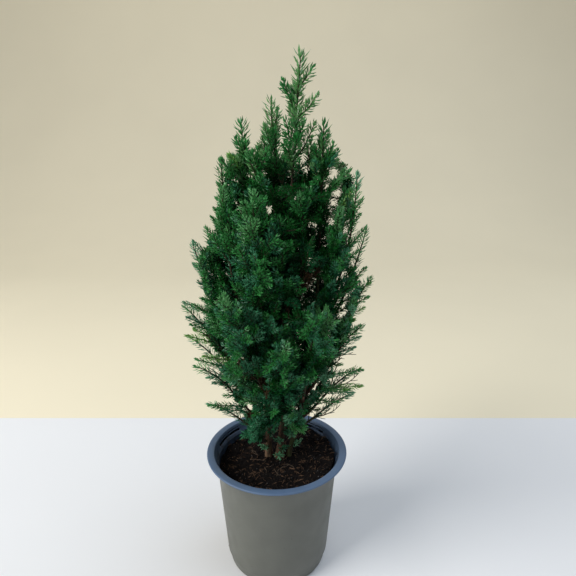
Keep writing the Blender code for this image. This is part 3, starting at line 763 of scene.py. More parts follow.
class Growth:
    """Grows the crown's shoots: the source's side shoots again, finer ones between, and theirs in turn."""

    def __init__(self, look):
        self.look = look
        self.shoots = []
        self.boughs, self.axes = {}, {}
        self.whole = {name: plume_line(plume) for name, plume in PLUMES.items()}
        for name, plume in PLUMES.items():
            line, clear = self.whole[name]
            start = clear
            if plume.share:
                self.boughs[name] = cut_line(line, clear, plume.share, BOUGH_STEPS)
                start = plume.share + GAP / length_of(line)
            self.axes[name] = cut_line(line, start, 1, PATH_STEPS)
        self.crown = Crown(self.boughs, self.axes)
        for name in PLUMES:
            self.grow_plume(name)
        self.grow_inside()
        self.grow_edges()
        self.grow_skirt()
        self.grow_gaps()
        self.grow_backing()
        self.grow_sprouts()

    def tone(self, line, share, spray, rng):
        """The colour of one shoot: lighter out towards the crown's outline and at the plume's tip, partly newer
        growth and partly painted light, darker inside, partly older foliage and partly painted shade, paler in the
        open top as painted light, bluer low down.
        """
        middle = line[len(line) // 2]
        out = float(self.crown.reach(np.array([line[-1]]))[0])
        # Painted light and shade: the further out a shoot ends, the lighter its tone; the share along the plume adds
        # the newer growth at its tip
        fresh = 0.6 * min(1, out) + 0.3 * share + spray + rng.uniform(-0.06, 0.06)
        cool = 1 - min(1, max(0, (middle.z / MM - 105) / 150))
        cool = rng.random() < 0.1 + 0.75 * cool
        # Painted light: the open top is dealt the paler, greyer tones of a lit top
        if slender(middle) > 0.45:
            return rng.choice(("pale", "pale", "bright", "green", "green"))
        if fresh < 0.42:
            return "shade" if cool else "deep"
        if fresh < 0.7:
            return "blue" if cool else "green"
        if fresh < 0.94:
            return "silver" if cool and rng.random() < 0.6 else "bright"
        return "fresh"

    def add(self, line, radii, needles, spacing, closing, tone, order):
        self.shoots.append(Shoot(line, radii, needles, spacing, closing, tone, order))

    def kept(self, line, name, room=0.0):
        """The part of a shoot's line, from its root, that stays in its plume's space."""
        inner = np.clip((SURFACE_FROM - self.crown.reach(np.array(line[1:]))) / SURFACE_DEPTH, 0, 1)
        slack = SLACK_OUTER + (SLACK_INNER - SLACK_OUTER) * inner * (1 - slender(line[0]))
        free = self.crown.free(line[1:], name, slack, room)
        count = len(free) if free.all() else int(np.argmin(free))
        return line[: count + 1]

    def shoot_length(self, plume, share):
        rising = min(1, FOOT_SHOOTS + SHOOT_RISE * share)
        falling = min(1, SHOOT_FALL * (1 - share) ** TIP_TAPER)
        return max(SHORTEST_SPRAY * 1.2, SHOOT_REACH * plume.half_width * MM * rising * falling)

    def source_shoots(self, name, line, rng):
        """The side shoots as the source sets them: share of the way, angle, turn, length and roll."""
        plume = PLUMES[name]
        total = length_of(line)
        tip_share = 1 - TERMINAL_SHARE * TERMINAL_SPRAY / total
        rng.uniform(-SPRAY_ROLL, SPRAY_ROLL)
        turn = rng.uniform(0, math.tau)
        count = int(total * (tip_share - BARE_SHARE) / SHOOT_SPACING)
        found = []
        for number in range(count):
            share = BARE_SHARE + (tip_share - BARE_SHARE) * (number + 0.5) / count
            turn += GOLDEN_ANGLE
            along = tangent_on(line, share)
            angle = SHOOT_ANGLE_LOW + (SHOOT_ANGLE_TIP - SHOOT_ANGLE_LOW) * share
            angle += rng.uniform(-SHOOT_JITTER, SHOOT_JITTER)
            length = self.shoot_length(plume, share)
            rolls = 1
            if length > LONGEST_SPRAY:
                root = point_on(line, share)
                ahead = (along * math.cos(angle) + beside(along, turn) * math.sin(angle)).normalized()
                half = (length - TERMINAL_SHARE * TERMINAL_SPRAY) / 2
                bend = (ahead + Vector((0, 0, TWIG_LIFT))).normalized()
                middle = root + ahead * half
                if self.crown.free([middle, middle + bend * half], name).all():
                    rolls = 3
            roll = [rng.uniform(-SPRAY_ROLL, SPRAY_ROLL) for _ in range(rolls)][0]
            found.append((share, angle, turn, length, roll))
        return found, tip_share

    def grow_plume(self, name):
        """A plume's own stem, the source's side shoots, those between them and those near its tip."""
        line = self.axes[name]
        rng = random.Random(name + "_fine")
        main, tip_share = self.source_shoots(name, line, random.Random(name))
        shoots = list(main)
        step = (tip_share - BARE_SHARE) / len(main)
        for share, angle, turn, length, roll in main:
            for part in (1 / 3, 2 / 3):
                turn += math.tau * 0.29
                if rng.random() > 0.25 + 1.2 * slender(point_on(line, share)):
                    between = (share + part * step, angle * rng.uniform(0.85, 1.15), turn)
                    shoots.append((*between, length * rng.uniform(0.65, 0.95), -roll))
        total = length_of(line)
        place, turn = tip_share, main[-1][2]
        while place < 1 - BARE_TIP / total:
            turn += GOLDEN_ANGLE
            left = (1 - place) * total
            length = min(15 * MM, 0.75 * left + 2 * MM) * rng.uniform(0.8, 1.05)
            shoots.append((place, math.radians(rng.uniform(30, 38)), turn, length, 0))
            place += (4.2 + 2.6 * slender(point_on(line, place))) * MM / total
        listed = [shoot for shoot in TOP_SHOOTS if shoot[0] == name]
        for share, angle, turn, length, roll in shoots:
            if not listed or point_on(line, share).z < TOP_SHOOTS_FROM:
                room = rng.choice(ROOMS)
                self.grow_side(name, line, share, angle, turn, length, roll, rng, room)
        for _, height, tip in listed:
            self.grow_listed(name, line, height * MM, Vector(tip) * MM, rng)
        self.grow_axis(name, line, rng)
        for _ in range(DRY_PLUMES.get(name, 0)):
            self.grow_dry(name, rng)

    def grow_axis(self, name, line, rng):
        """The plume's own stem: needles stand on its upper part, the newest at its tip."""
        top = PLUMES[name].foot is None
        end = 1 - 3.2 * MM / length_of(line)
        self.add(
            cut_line(line, 0, end, 30), (PLUME_FOOT_RADIUS * 0.85, PLUME_TIP_RADIUS), None, 0, 0, "wood", 0
        )
        start = 0.04 if top else 0.3
        cuts = [start, 0.5 + start / 2, 0.82, end]
        length = LEADER_NEEDLE if name == "leader" else NEEDLE_LENGTHS[0]
        for number, (low, high) in enumerate(zip(cuts, cuts[1:])):
            part = cut_line(line, low, high, 8)
            tone = self.tone(part, 0.25 + 0.4 * number, 0, rng)
            lengths = (length * (0.8 + 0.1 * number), length)
            self.add(part, None, lengths, NEEDLE_SPACINGS[0], number == 2, tone, 0)

    def grow_listed(self, name, axis, height, tip, rng):
        """A single shoot at the top, from its height on the plume's stem to its own tip."""
        share = min(range(101), key=lambda n: abs(point_on(axis, n / 100).z - height)) / 100
        root = point_on(axis, share)
        size = (tip - root).length
        ahead = (tip - root).normalized()
        out = (ahead - tangent_on(axis, share) * 0.5).normalized()
        steps = max(3, round(size / SHOOT_STEP))
        line = bezier(root, root + out * size * 0.3, tip - (ahead + UP * 0.4).normalized() * size * 0.3, tip, steps)
        self.grow_shoot(name, line, 0, share, False, rng, spread=0.75)

    def grow_edges(self):
        """The single shoots at the crown's edge from the nearest plume's stem, flat low down, steep above."""
        rng = random.Random("edges")
        limbs = np.array([point for line in self.axes.values() for point in line])
        for across, height in EDGE_TIPS:
            steep = min(1, max(0, (height - EDGE_FLAT_AT) / (EDGE_STEEP_AT - EDGE_FLAT_AT)))
            angle = math.radians(EDGE_ANGLE * steep + rng.uniform(-6, 6))
            way = Vector((math.copysign(math.cos(angle), across), 0, math.sin(angle)))
            tip = Vector((across, rng.uniform(-5, 3), height)) * MM - way * NEEDLE_ROOM
            root = tip - way * rng.uniform(13, 19) * (1.5 - 0.5 * steep) * MM
            root.y *= 0.4
            gaps = np.linalg.norm(limbs - root, axis=1) + 2 * np.maximum(0, limbs[:, 2] - root.z)
            start = Vector(limbs[int(gaps.argmin())])
            steps = max(4, round(((root - start).length + (tip - root).length) / SHOOT_STEP))
            line = bezier(start, start.lerp(root, 0.6), root.lerp(tip, 0.35), tip, steps)
            first = len(self.shoots)
            self.grow_shoot(None, line, rng.uniform(-0.5, 0.5), 0.5, False, rng, rng.uniform(0, 0.2), 0.55, 0)
            denser = [shoot._replace(spacing=shoot.spacing * EDGE_DENSER) for shoot in self.shoots[first:]]
            self.shoots[first:] = denser

    def grow_skirt(self):
        """Short shoots in front, between the lowest plumes and the compost."""
        rng = random.Random("skirt")
        limbs = self.limb_points()
        for number in range(SKIRT_SHOOTS):
            angle = math.radians(195 + 150 * (number + rng.uniform(0.2, 0.8)) / SKIRT_SHOOTS)
            place = np.array((3 + 26 * math.cos(angle), 17 * math.sin(angle), rng.uniform(113, 127))) * MM
            line = self.shoot_to(place, limbs, 40 * MM)
            if length_of(line) > 6 * MM:
                self.grow_shoot(None, line, rng.uniform(-1, 1), 0.4, False, rng, 0.1, 0.8)

    def grow_side(self, name, axis, share, angle, turn, length, roll, rng, room):
        """One side shoot, turned in where it would leave its plume's space."""
        along = tangent_on(axis, share)
        out = beside(along, turn)
        flat = min(1, max(0, (FLAT_BELOW - PLUMES[name].height) / 40))
        out = (out - UP * out.z * 0.75 * flat).normalized()
        towards = (along * (0.5 + 0.5 * flat) + UP * 0.7 * (1 - 0.8 * flat)).normalized()
        best = []
        for part in SPRAY_TURNS:
            ahead = (along * math.cos(angle * part) + out * math.sin(angle * part)).normalized()
            line = self.kept(arc(point_on(axis, share), ahead, length, towards, 0.6, rng), name, room)
            if length_of(line) > length_of(best):
                best = line
            if length_of(best) > 0.8 * length:
                break
        if length_of(best) > LEAST_SHOOT:
            inner = self.crown.reach(np.array([best[-1]]))[0] < 0.75 and best[0].z < DRY_BELOW
            dry = share < 0.3 and inner and rng.random() < 0.12
            self.grow_shoot(name, best, roll, share, dry, rng, room=room)

    def grow_shoot(self, name, line, roll, share, dry, rng, lighter=0.0, spread=1.0, room=0.0):
        """A side shoot's twig and needles, fresher towards its tip, and its finer shoots."""
        reached = length_of(line)
        spray = rng.uniform(-0.16, 0.16) + lighter
        tone = "dry" if dry else self.tone(line, share, spray, rng)
        fresher = "dry" if dry else self.tone(line, share + 0.2, spray, rng)
        self.add(line, (0.5 * MM if reached > 15 * MM else 0.4 * MM, 0.24 * MM), None, 0, 0, "side", 1)
        bare = 0.12 if reached > 12 * MM else 0
        middle = bare + (1 - bare) * 0.6
        needle, spacing = NEEDLE_LENGTHS[1], NEEDLE_SPACINGS[1]
        foot = cut_line(line, bare, middle, max(2, int(reached * 0.6 / SHOOT_STEP)))
        tip = cut_line(line, middle, 1, max(2, int(reached * 0.4 / SHOOT_STEP)))
        self.add(foot, None, (needle * 0.85, needle), spacing, False, tone, 1)
        self.add(tip, None, (needle, needle * 0.9), spacing, True, fresher, 1)
        if reached > 6.5 * MM:
            self.grow_finer(name, line, reached, roll, share, spray, tone, rng, spread, room)

    def grow_finer(self, name, line, length, roll, share, spray, tone, rng, spread, room):
        """Shoots of the second order, set left and right along a side shoot, with a few of the third."""
        open_top = slender(line[0])
        count = int((length - 3.5 * MM) / (self.look.spacing * (1 + 1.5 * open_top)))
        for number in range(count):
            place = 0.14 + 0.78 * (number + rng.uniform(0.2, 0.8)) / max(1, count)
            ahead = tangent_on(line, place)
            side = Matrix.Rotation(roll + rng.uniform(-0.7, 0.7), 3, ahead) @ facing_out(line[0], ahead)
            side *= 1 if number % 2 else -1
            reach = min(12.5 * MM, 0.56 * length * (1 - place) ** 0.75 + 2.2 * MM) * rng.uniform(0.75, 1.15)
            reach *= spread
            reach *= 1 - 0.35 * open_top
            angle = math.radians(rng.uniform(34, 50))
            way = (ahead * math.cos(angle) + side * math.sin(angle)).normalized()
            root = point_on(line, place)
            fine = self.kept(arc(root, way, reach, (ahead + UP * 0.3).normalized(), 0.5, rng, 0.07), name, room)
            if length_of(fine) < LEAST_SHOOT * 0.8:
                continue
            own = tone if tone == "dry" else self.tone(fine, share + 0.15 * place, spray, rng)
            needle = NEEDLE_LENGTHS[2]
            self.add(fine, (0.28 * MM, 0.2 * MM), (needle, needle * 0.95), NEEDLE_SPACINGS[2], True, own, 2)
            if length_of(fine) > 6.8 * MM and open_top < 0.6:
                self.grow_finest(name, fine, own, rng, room)

    def grow_finest(self, name, line, tone, rng, room):
        length = length_of(line)
        for number in range(int((length - 2.5 * MM) / self.look.finest)):
            place = 0.2 + 0.65 * (number + 0.5) * self.look.finest / length
            ahead = tangent_on(line, place)
            side = Matrix.Rotation(rng.uniform(-1, 1), 3, ahead) @ facing_out(line[0], ahead)
            side *= 1 if number % 2 else -1
            way = (ahead * 0.8 + side * 0.62).normalized()
            reach = (3.6 + 2.2 * (1 - place)) * MM * rng.uniform(0.8, 1.1)
            fine = self.kept(arc(point_on(line, place), way, reach, ahead, 0.4, rng, 0.05), name, room)
            if length_of(fine) > LEAST_SHOOT * 0.7:
                needle = NEEDLE_LENGTHS[3]
                self.add(fine, (0.22 * MM, 0.18 * MM), (needle, needle), NEEDLE_SPACINGS[3], True, tone, 3)

    def grow_inside(self):
        """Shoots on the stems and boughs themselves, which fill the crown's inside."""
        rng = random.Random("inside")
        for name, stem in STEMS.items():
            line = through(stem.route, LIMB_SAMPLES)
            total = length_of(line)
            self.grow_along(line, INSIDE_FROM[name] / total, 1, 2.2 * MM, (24 * MM, 38 * MM), rng)
            self.grow_along(line, 0.78, 1, 1 * MM, (11 * MM, 18 * MM), rng)
        self.grow_along(self.axes["leader"], 0, 0.35, 0.5 * MM, (9 * MM, 13 * MM), rng)
        for name, line in self.boughs.items():
            if name not in BARE_BOUGHS:
                self.grow_along(line, 0.1, 1, 1.2 * MM, (15 * MM, 27 * MM), rng)

    def grow_along(self, line, start, end, radius, lengths, rng):
        """Shoots set round one limb by the golden angle."""
        total = length_of(line) * (end - start)
        turn = rng.uniform(0, math.tau)
        for number in range(int(total / INSIDE_SPACING)):
            share = start + (end - start) * (number + rng.uniform(0.3, 0.7)) * INSIDE_SPACING / total
            turn += GOLDEN_ANGLE
            along = tangent_on(line, share)
            out = beside(along, turn)
            angle = math.radians(rng.uniform(48, 72))
            ahead = (along * math.cos(angle) + out * math.sin(angle)).normalized()
            outward = Vector((out.x, out.y, 0))
            towards = (UP * 0.8 + outward * 0.3).normalized()
            root = point_on(line, share) + out * radius
            shoot = self.kept(arc(root, ahead, rng.uniform(*lengths), towards, 0.6, rng), None, 1)
            if length_of(shoot) > 6 * MM:
                # Painted light: low shoots that don't face the back are dealt a lighter tone, as if lit from the
                # front
                low_front = out.y < 0.3 and root.z < 170 * MM
                self.grow_shoot(None, shoot, rng.uniform(-1, 1), 0.3, False, rng, 0.2 if low_front else 0, room=1)

    def grow_gaps(self):
        """Shoots from the nearest limb into the places inside the crown that are still empty."""
        rng = random.Random("gaps")
        limbs = self.limb_points()
        full = [np.array(shoot.line) for shoot in self.shoots if shoot.needles]
        full = np.concatenate(full)
        steps = [np.arange(low, high, EMPTY_STEP) for low, high in ((-0.06, 0.06), (-0.06, 0.06), EMPTY_HEIGHTS)]
        places = np.stack(np.meshgrid(*steps), axis=-1).reshape(-1, 3)
        places += np.array([[rng.uniform(-0.4, 0.4) for _ in range(3)] for _ in places]) * EMPTY_STEP
        inside = (self.crown.reach(places) < EMPTY_REACH) & self.crown.seen(places)
        inside &= (places[:, 0] < BARE_FROM) | (places[:, 2] > BARE_BELOW)
        for place in places[inside]:
            if np.linalg.norm(full - place, axis=1).min() < EMPTY_RADIUS:
                continue
            line = self.shoot_to(place, limbs, 32 * MM)
            if length_of(line) > LEAST_SHOOT:
                # Painted shade: the shoots that fill the inside are dealt darker tones
                self.grow_shoot(None, line, rng.uniform(-1, 1), 0.1, False, rng, -0.2)
                full = np.concatenate([full, np.array(line)])

    def limb_points(self):
        """Points on the upper stems, the boughs and the plumes' stems."""
        stems = [through(stem.route, 2 * LIMB_SAMPLES)[40:] for stem in STEMS.values()]
        return np.array([point for line in [*stems, *self.boughs.values(), *self.axes.values()] for point in line])

    def shoot_to(self, place, limbs, longest):
        """A shoot's line from the nearest limb, not much higher, to a place and a little beyond."""
        gaps = np.linalg.norm(limbs - place, axis=1) + 2 * np.maximum(0, limbs[:, 2] - place[2])
        root, place = Vector(limbs[int(gaps.argmin())]), Vector(place)
        size = (place - root).length
        if not 4 * MM < size < longest:
            return []
        end = place + (place - root).normalized() * 3 * MM
        bend = (place - root + UP * 0.6 * size) * 0.35
        steps = max(3, round(size / SHOOT_STEP))
        return self.kept(bezier(root, root + bend * 0.6, end - bend * 0.8, end, steps), None, 0.4)

    def grow_backing(self):
        """Shoots behind the thin places of the crown, where the front view would look through it."""
        rng = random.Random("backing")
        limbs = self.limb_points()
        across = np.arange(-0.06, 0.06, BACKING_CELL)
        heights = np.arange(0.1, BACKING_TOP, BACKING_CELL)
        count = np.zeros((len(across), len(heights)))
        done = 0

        def tally():
            lines = [cut_line(s.line, 0, 1, 1 + int(length_of(s.line) / MM)) for s in self.shoots[done:] if s.needles]
            points = np.array([point for line in lines for point in line])
            if not len(points):
                return 0
            flat = EYE + (points - EYE) * (-EYE[1] / (points[:, 1:2] - EYE[1]))
            edges = [np.append(side, side[-1] + BACKING_CELL) for side in (across, heights)]
            return np.histogram2d(flat[:, 0], flat[:, 2], bins=edges)[0]

        for i, j in np.ndindex(count.shape):
            if done != len(self.shoots):
                count = count + tally()
                done = len(self.shoots)
            place = np.array((across[i] + BACKING_CELL / 2, 0, heights[j] + BACKING_CELL / 2))
            bare = place[0] > BARE_FROM and place[2] < BARE_BELOW
            behind = EYE + (place - EYE) * ((HOLLOW_DEPTH - EYE[1]) / -EYE[1])
            if count[i, j] > 3 or bare or not self.crown.seen(behind[None], 0.7)[0]:
                continue
            for _ in range(4):
                depth = rng.uniform(*BACKING_DEPTHS)
                spot = EYE + (place - EYE) * ((depth - EYE[1]) / -EYE[1])
                line = self.shoot_to(spot, limbs, 36 * MM) if self.crown.reach(spot[None])[0] < 0.85 else []
                if length_of(line) > 6 * MM:
                    # Painted shade: the shoots behind the thin places are dealt darker tones
                    self.grow_shoot(None, line, rng.uniform(-1, 1), 0.1, False, rng, -0.12, 0.7)
                    break

    def grow_dry(self, name, rng):
        """A bare brown twig on the inner part of a low plume."""
        line = self.axes[name]
        share = rng.uniform(0.02, 0.42)
        along = tangent_on(line, share)
        way = (along + beside(along, rng.uniform(0, math.tau)) * rng.uniform(0.6, 1.1)).normalized()
        twig = arc(point_on(line, share), way, rng.uniform(12, 24) * MM, UP, 0.35, rng, 0.12)
        self.add(twig, (0.42 * MM, 0.2 * MM), None, 0, 0, "side", 1)
        for place in (0.35, 0.5, 0.66, 0.8):
            ahead = tangent_on(twig, place)
            way = (ahead + beside(ahead, rng.uniform(0, math.tau)) * 0.8).normalized()
            end = arc(point_on(twig, place), way, 6 * MM, UP, 0.2, rng, 0.12)
            self.add(end, (0.26 * MM, 0.15 * MM), None, 0, 0, "side", 2)

    def grow_sprouts(self):
        """Small blue-green sprouts low on the stems, over the compost."""
        rng = random.Random("sprouts")
        for stem, height, bearing, length in SPROUTS:
            root, radius, along = stem_point(STEMS[stem], height)
            angle = math.radians(bearing)
            out = Vector((math.cos(angle), math.sin(angle), 0))
            way = (out + UP * rng.uniform(0.1, 0.6)).normalized()
            line = arc(root, way, radius + length * MM, UP, 0.5, rng, 0.08)
            tone = rng.choice(["blue", "silver", "silver"])
            self.add(line, (0.4 * MM, 0.22 * MM), (3.2 * MM, 3.4 * MM), 1.1 * MM, True, tone, 2)
            for side in (-1, 1):
                ahead = tangent_on(line, 0.5)
                across = ahead.cross(UP).normalized() * side
                fine = arc(point_on(line, 0.5), (ahead + across * 0.8).normalized(), 4 * MM, UP, 0.2, rng)
                self.add(fine, (0.25 * MM, 0.2 * MM), (3 * MM, 3 * MM), 1.05 * MM, True, tone, 3)


GROWN = {}


def growth():
    """The grown crown, worked out once for the twigs and the needles."""
    if "crown" not in GROWN:
        GROWN["crown"] = Growth(bpy.context.scene.cypress_shoots)
    return GROWN["crown"]


# ---- Operators ----


class MakeStage(bpy.types.Operator):
    """Make the floor, the backdrop, the light and the camera"""

    bl_idname = "cypress.make_stage"
    bl_label = "Stage"

    def execute(self, context):
        look = context.scene.cypress_stage
        self.sweep("floor", 3.6, [(-1.6, 0), (look.edge, 0)], look.floor)
        turn = [math.radians(6 * step) for step in range(16)]
        rise = [(0.75 + 0.9 * math.sin(angle), 0.9 * (1 - math.cos(angle)) - 4 * MM) for angle in turn]
        self.sweep("backdrop", 3.6, [(look.edge, -4 * MM), *rise, (1.65, 2.4)], look.backdrop)
        self.lights(look)
        camera = bpy.data.objects.new("camera", bpy.data.cameras.new("camera"))
        context.scene.collection.objects.link(camera)
        camera.location = (0.0072, -0.2817, 0.2726)
        camera.rotation_euler = (math.radians(73.3), 0, 0)
        camera.data.sensor_width = 36
        camera.data.lens = 31.25
        camera.data.clip_start = 0.01
        context.scene.camera = camera
        context.scene.view_settings.view_transform = "Standard"
        return {"FINISHED"}

    def sweep(self, name, width, places, colour):
        """A sheet across the scene that follows its places from front to back, with a faint mottle."""
        bm = bmesh.new()
        rows = [[bm.verts.new((x, y, z)) for x in (-width / 2, width / 2)] for y, z in places]
        for near, far in zip(rows, rows[1:]):
            bm.faces.new((near[0], near[1], far[1], far[0]))
        finish = Finish(name, colour, 0.75, 0.3)
        mottle = finish.nodes.ramp(finish.noise(3), 0.3, 0.7)
        finish.set("Base Color", finish.nodes.mix(mottle, faded(colour, 0.98), faded(colour, 1.02)))
        mesh = bpy.data.meshes.new(name)
        bm.to_mesh(mesh)
        bm.free()
        mesh.materials.append(finish.material)
        mesh.shade_smooth()
        new_object(name, mesh)

    def lights(self, look):
        """A window light from the upper left in front, a wide cooler one above, and the sky."""
        places = [
            ("window", (-1.08, -0.55, 0.92), 0.9, look.key, (1.0, 0.98, 0.94)),
            ("ceiling", (0.65, 0.1, 1.4), 1.6, look.key * 0.6, (0.8, 0.88, 1.0)),
        ]
        for name, place, size, power, colour in places:
            light = bpy.data.lights.new(name, "AREA")
            light.shape = "SQUARE"
            light.size = size
            light.energy = power
            light.color = colour
            made = bpy.data.objects.new(name, light)
            made.location = place
            made.rotation_euler = (Vector((0, 0, 0.15)) - Vector(place)).to_track_quat("-Z", "Y").to_euler()
            bpy.context.scene.collection.objects.link(made)
        world = bpy.data.worlds.new("sky")
        world.use_nodes = True
        back = world.node_tree.nodes["Background"]
        back.inputs["Color"].default_value = (0.86, 0.93, 1.0, 1)
        back.inputs["Strength"].default_value = look.sky
        bpy.context.scene.world = world


class MakePot(bpy.types.Operator):
    """Make the plastic pot with its rolled rim and drainage holes"""

    bl_idname = "cypress.make_pot"
    bl_label = "Pot"

    def execute(self, context):
        look = context.scene.cypress_pot
        wall, rim = self.wall_finish(look), self.rim_finish(look)
        bm = bmesh.new()
        points = [bm.verts.new((radius, 0, height)) for radius, height in self.profile()]
        edges = [bm.edges.new(pair) for pair in zip(points, points[1:])]
        bmesh.ops.spin(
            bm, geom=points + edges, cent=(0, 0, 0), axis=(0, 0, 1), angle=math.tau, steps=look.sides,
            use_merge=True,
        )
        bmesh.ops.remove_doubles(bm, verts=bm.verts, dist=0.01 * MM)
        pot = mesh_from(bm, "pot_body", [wall, rim], math.radians(35))
        self.drill(pot)
        for face in pot.data.polygons:
            outward = face.normal.dot(Vector((face.center.x, face.center.y, 0))) > 0
            below = face.center.z < POT_HEIGHT - RIM_ROLL - 1.1 * RIM_THICKNESS
            face.material_index = 0 if below and outward or face.center.z < 1.3 * MM else 1
        finished(pot, ["pot"])
        return {"FINISHED"}

    @staticmethod
    def wall_radius(height):
        """Outer radius of the pot's tapered wall, between its foot and its shoulder."""
        low, high = FOOT_HEIGHT, POT_HEIGHT - SHOULDER_DROP
        share = (height - low) / (high - low)
        return FOOT_TOP_RADIUS + share * (WALL_TOP_RADIUS - SHOULDER_STEP - FOOT_TOP_RADIUS)

    def profile(self):
        """Up the outside from the middle of the underside, over the rolled rim and down the inside."""
        shoulder = POT_HEIGHT - SHOULDER_DROP
        under = POT_HEIGHT - RIM_ROLL
        outside = [
            (0, 0.9 * MM),
            (BASE_RADIUS - 7 * MM, 0.9 * MM),
            (BASE_RADIUS - 6 * MM, 0),
            (BASE_RADIUS - BASE_CHAMFER, 0),
            (BASE_RADIUS - 0.9 * MM, 0.35 * MM),
            (BASE_RADIUS - 0.25 * MM, 1.0 * MM),
            (BASE_RADIUS, BASE_CHAMFER),
            (FOOT_TOP_RADIUS - FOOT_STEP - 0.1 * MM, FOOT_HEIGHT - 0.9 * MM),
            (FOOT_TOP_RADIUS - 0.1 * MM, FOOT_HEIGHT - 0.2 * MM),
            (FOOT_TOP_RADIUS, FOOT_HEIGHT),
        ]
        for step in range(1, 7):
            height = FOOT_HEIGHT + (shoulder - FOOT_HEIGHT) * step / 6
            outside.append((self.wall_radius(height), height))
        outside += [
            (WALL_TOP_RADIUS - 0.2 * SHOULDER_STEP, shoulder + SHOULDER_STEP),
            (WALL_TOP_RADIUS, under - 1.6 * RIM_THICKNESS),
            (WALL_TOP_RADIUS + 0.25 * MM, under - 0.9 * RIM_THICKNESS),
            (WALL_TOP_RADIUS + 0.9 * MM, under - 0.35 * RIM_THICKNESS),
            (RIM_RADIUS - RIM_ROLL, under - 0.1 * MM),
        ]
        lip = RIM_RADIUS - 0.75 * MM
        for step in range(7):
            turn = math.pi * (step / 6 - 0.5)
            outside.append((lip + 0.75 * MM * math.cos(turn), under + 0.62 * MM + 0.72 * MM * math.sin(turn)))
        top = [
            (RIM_RADIUS - 1.8 * MM, POT_HEIGHT - 0.0 * MM),
            ((RIM_RADIUS + MOUTH_RADIUS) / 2, POT_HEIGHT),
            (MOUTH_RADIUS + 0.9 * MM, POT_HEIGHT - 0.08 * MM),
            (MOUTH_RADIUS + 0.3 * MM, POT_HEIGHT - 0.3 * MM),
            (MOUTH_RADIUS, POT_HEIGHT - 0.75 * MM),
            (MOUTH_RADIUS - 0.3 * MM, POT_HEIGHT - 1.6 * MM),
        ]
        inside = [
            (WALL_TOP_RADIUS - WALL, shoulder + SHOULDER_STEP),
            (self.wall_radius(shoulder) - WALL, shoulder),
            (self.wall_radius(45 * MM) - WALL, 45 * MM),
            (FOOT_TOP_RADIUS - WALL, FOOT_HEIGHT),
            (BASE_RADIUS - BASE_CHAMFER - WALL, FLOOR + 1 * MM),
            (BASE_RADIUS - BASE_CHAMFER - WALL - MM, FLOOR + 0.9 * MM),
            (0, FLOOR + 0.9 * MM),
        ]
        return outside + top + inside

    def drill(self, pot):
        """Cuts the drainage holes through the floor in one Boolean."""
        holes = bpy.data.collections.new("drain_holes")
        bpy.context.scene.collection.children.link(holes)
        for number in range(DRAIN_COUNT):
            turn = Matrix.Rotation(math.tau * (number + 0.5) / DRAIN_COUNT, 4, "Z")
            bm = bmesh.new()
            bmesh.ops.create_cone(
                bm, cap_ends=True, segments=24, radius1=DRAIN_RADIUS, radius2=DRAIN_RADIUS,
                depth=6 * FLOOR, matrix=turn @ Matrix.Translation((DRAIN_CIRCLE, 0, FLOOR)),
            )
            hole = mesh_from(bm, f"drain_{number}")
            bpy.context.scene.collection.objects.unlink(hole)
            holes.objects.link(hole)
        modifier = pot.modifiers.new("drill", "BOOLEAN")
        modifier.operation = "DIFFERENCE"
        modifier.operand_type = "COLLECTION"
        modifier.collection = holes
        modifier.solver = "EXACT"
        bpy.context.view_layer.update()
        graph = bpy.context.evaluated_depsgraph_get()
        drilled = bpy.data.meshes.new_from_object(pot.evaluated_get(graph))
        pot.modifiers.clear()
        pot.data = drilled
        for hole in list(holes.objects):
            bpy.data.objects.remove(hole, do_unlink=True)
        bpy.data.collections.remove(holes)

    def wall_finish(self, look):
        """Satin taupe plastic, a little mottled, with soil that clings to it in specks."""
        finish = Finish("pot_wall", look.wall, 0.46, 0.42)
        nodes = finish.nodes
        mottle = nodes.ramp(finish.noise(60, 4), 0.3, 0.7)
        streak = nodes.ramp(finish.noise(90, 3, (1, 1, 0.06)), 0.35, 0.7)
        base = nodes.mix(mottle, faded(look.wall, 0.94), faded(look.wall, 1.06))
        base = nodes.mix(nodes.math("MULTIPLY", streak, 0.3), base, faded(look.wall, 1.13))
        specks = nodes.ramp(finish.noise(900, 2), 0.735, 0.76)
        patch = nodes.ramp(finish.noise(45, 2), 0.52, 0.62)
        specks = nodes.math("MULTIPLY", specks, patch)
        finish.set("Base Color", nodes.mix(specks, base, look.soil))
        finish.set("Roughness", nodes.ramp(finish.noise(140, 4), -1.1, 2.2))
        scratches = nodes.math("MULTIPLY", finish.noise(260, 5, (1, 1, 0.12)), 0.5)
        finish.bump(nodes.math("ADD", scratches, nodes.math("MULTIPLY", specks, 0.8)), 0.12 * MM, 0.35)
        return finish.material

    def rim_finish(self, look):
        """Blue-grey plastic, with painted shade that darkens it lower down, inside the pot and a little under the
        rim's lip, and soil smeared down inside and specked all over.
        """
        finish = Finish("pot_rim", look.rim, 0.42, 0.45)
        nodes = finish.nodes
        height = nodes("ShaderNodeSeparateXYZ", {"Vector": finish.coordinates()}).outputs["Z"]
        # How far down inside the pot a point is: it places the painted shade inside and the soil smears
        deep = nodes.ramp(height, POT_HEIGHT - 1.6 * MM, POT_HEIGHT - 7.5 * MM)
        mottle = nodes.ramp(finish.noise(80, 4), 0.3, 0.7)
        base = nodes.mix(mottle, faded(look.rim, 0.93), faded(look.rim, 1.09))
        # Painted shade: the rim colour darkens down inside the pot, towards the compost
        base = nodes.mix(nodes.math("MULTIPLY", deep, 0.62), base, faded(look.rim, 0.22))
        smear = nodes.math("MULTIPLY", nodes.ramp(finish.noise(210, 5), 0.5, 0.62), deep)
        specks = nodes.math("MULTIPLY", nodes.ramp(finish.noise(950, 2), 0.74, 0.77), 0.8)
        soiled = nodes.math("MAXIMUM", nodes.math("MULTIPLY", smear, 0.75), specks)
        finish.set("Base Color", nodes.mix(soiled, base, look.soil))
        finish.set("Roughness", nodes.ramp(finish.noise(160, 4), -1.0, 2.2))
        finish.bump(finish.noise(320, 4), 0.1 * MM, 0.3)
        return finish.material


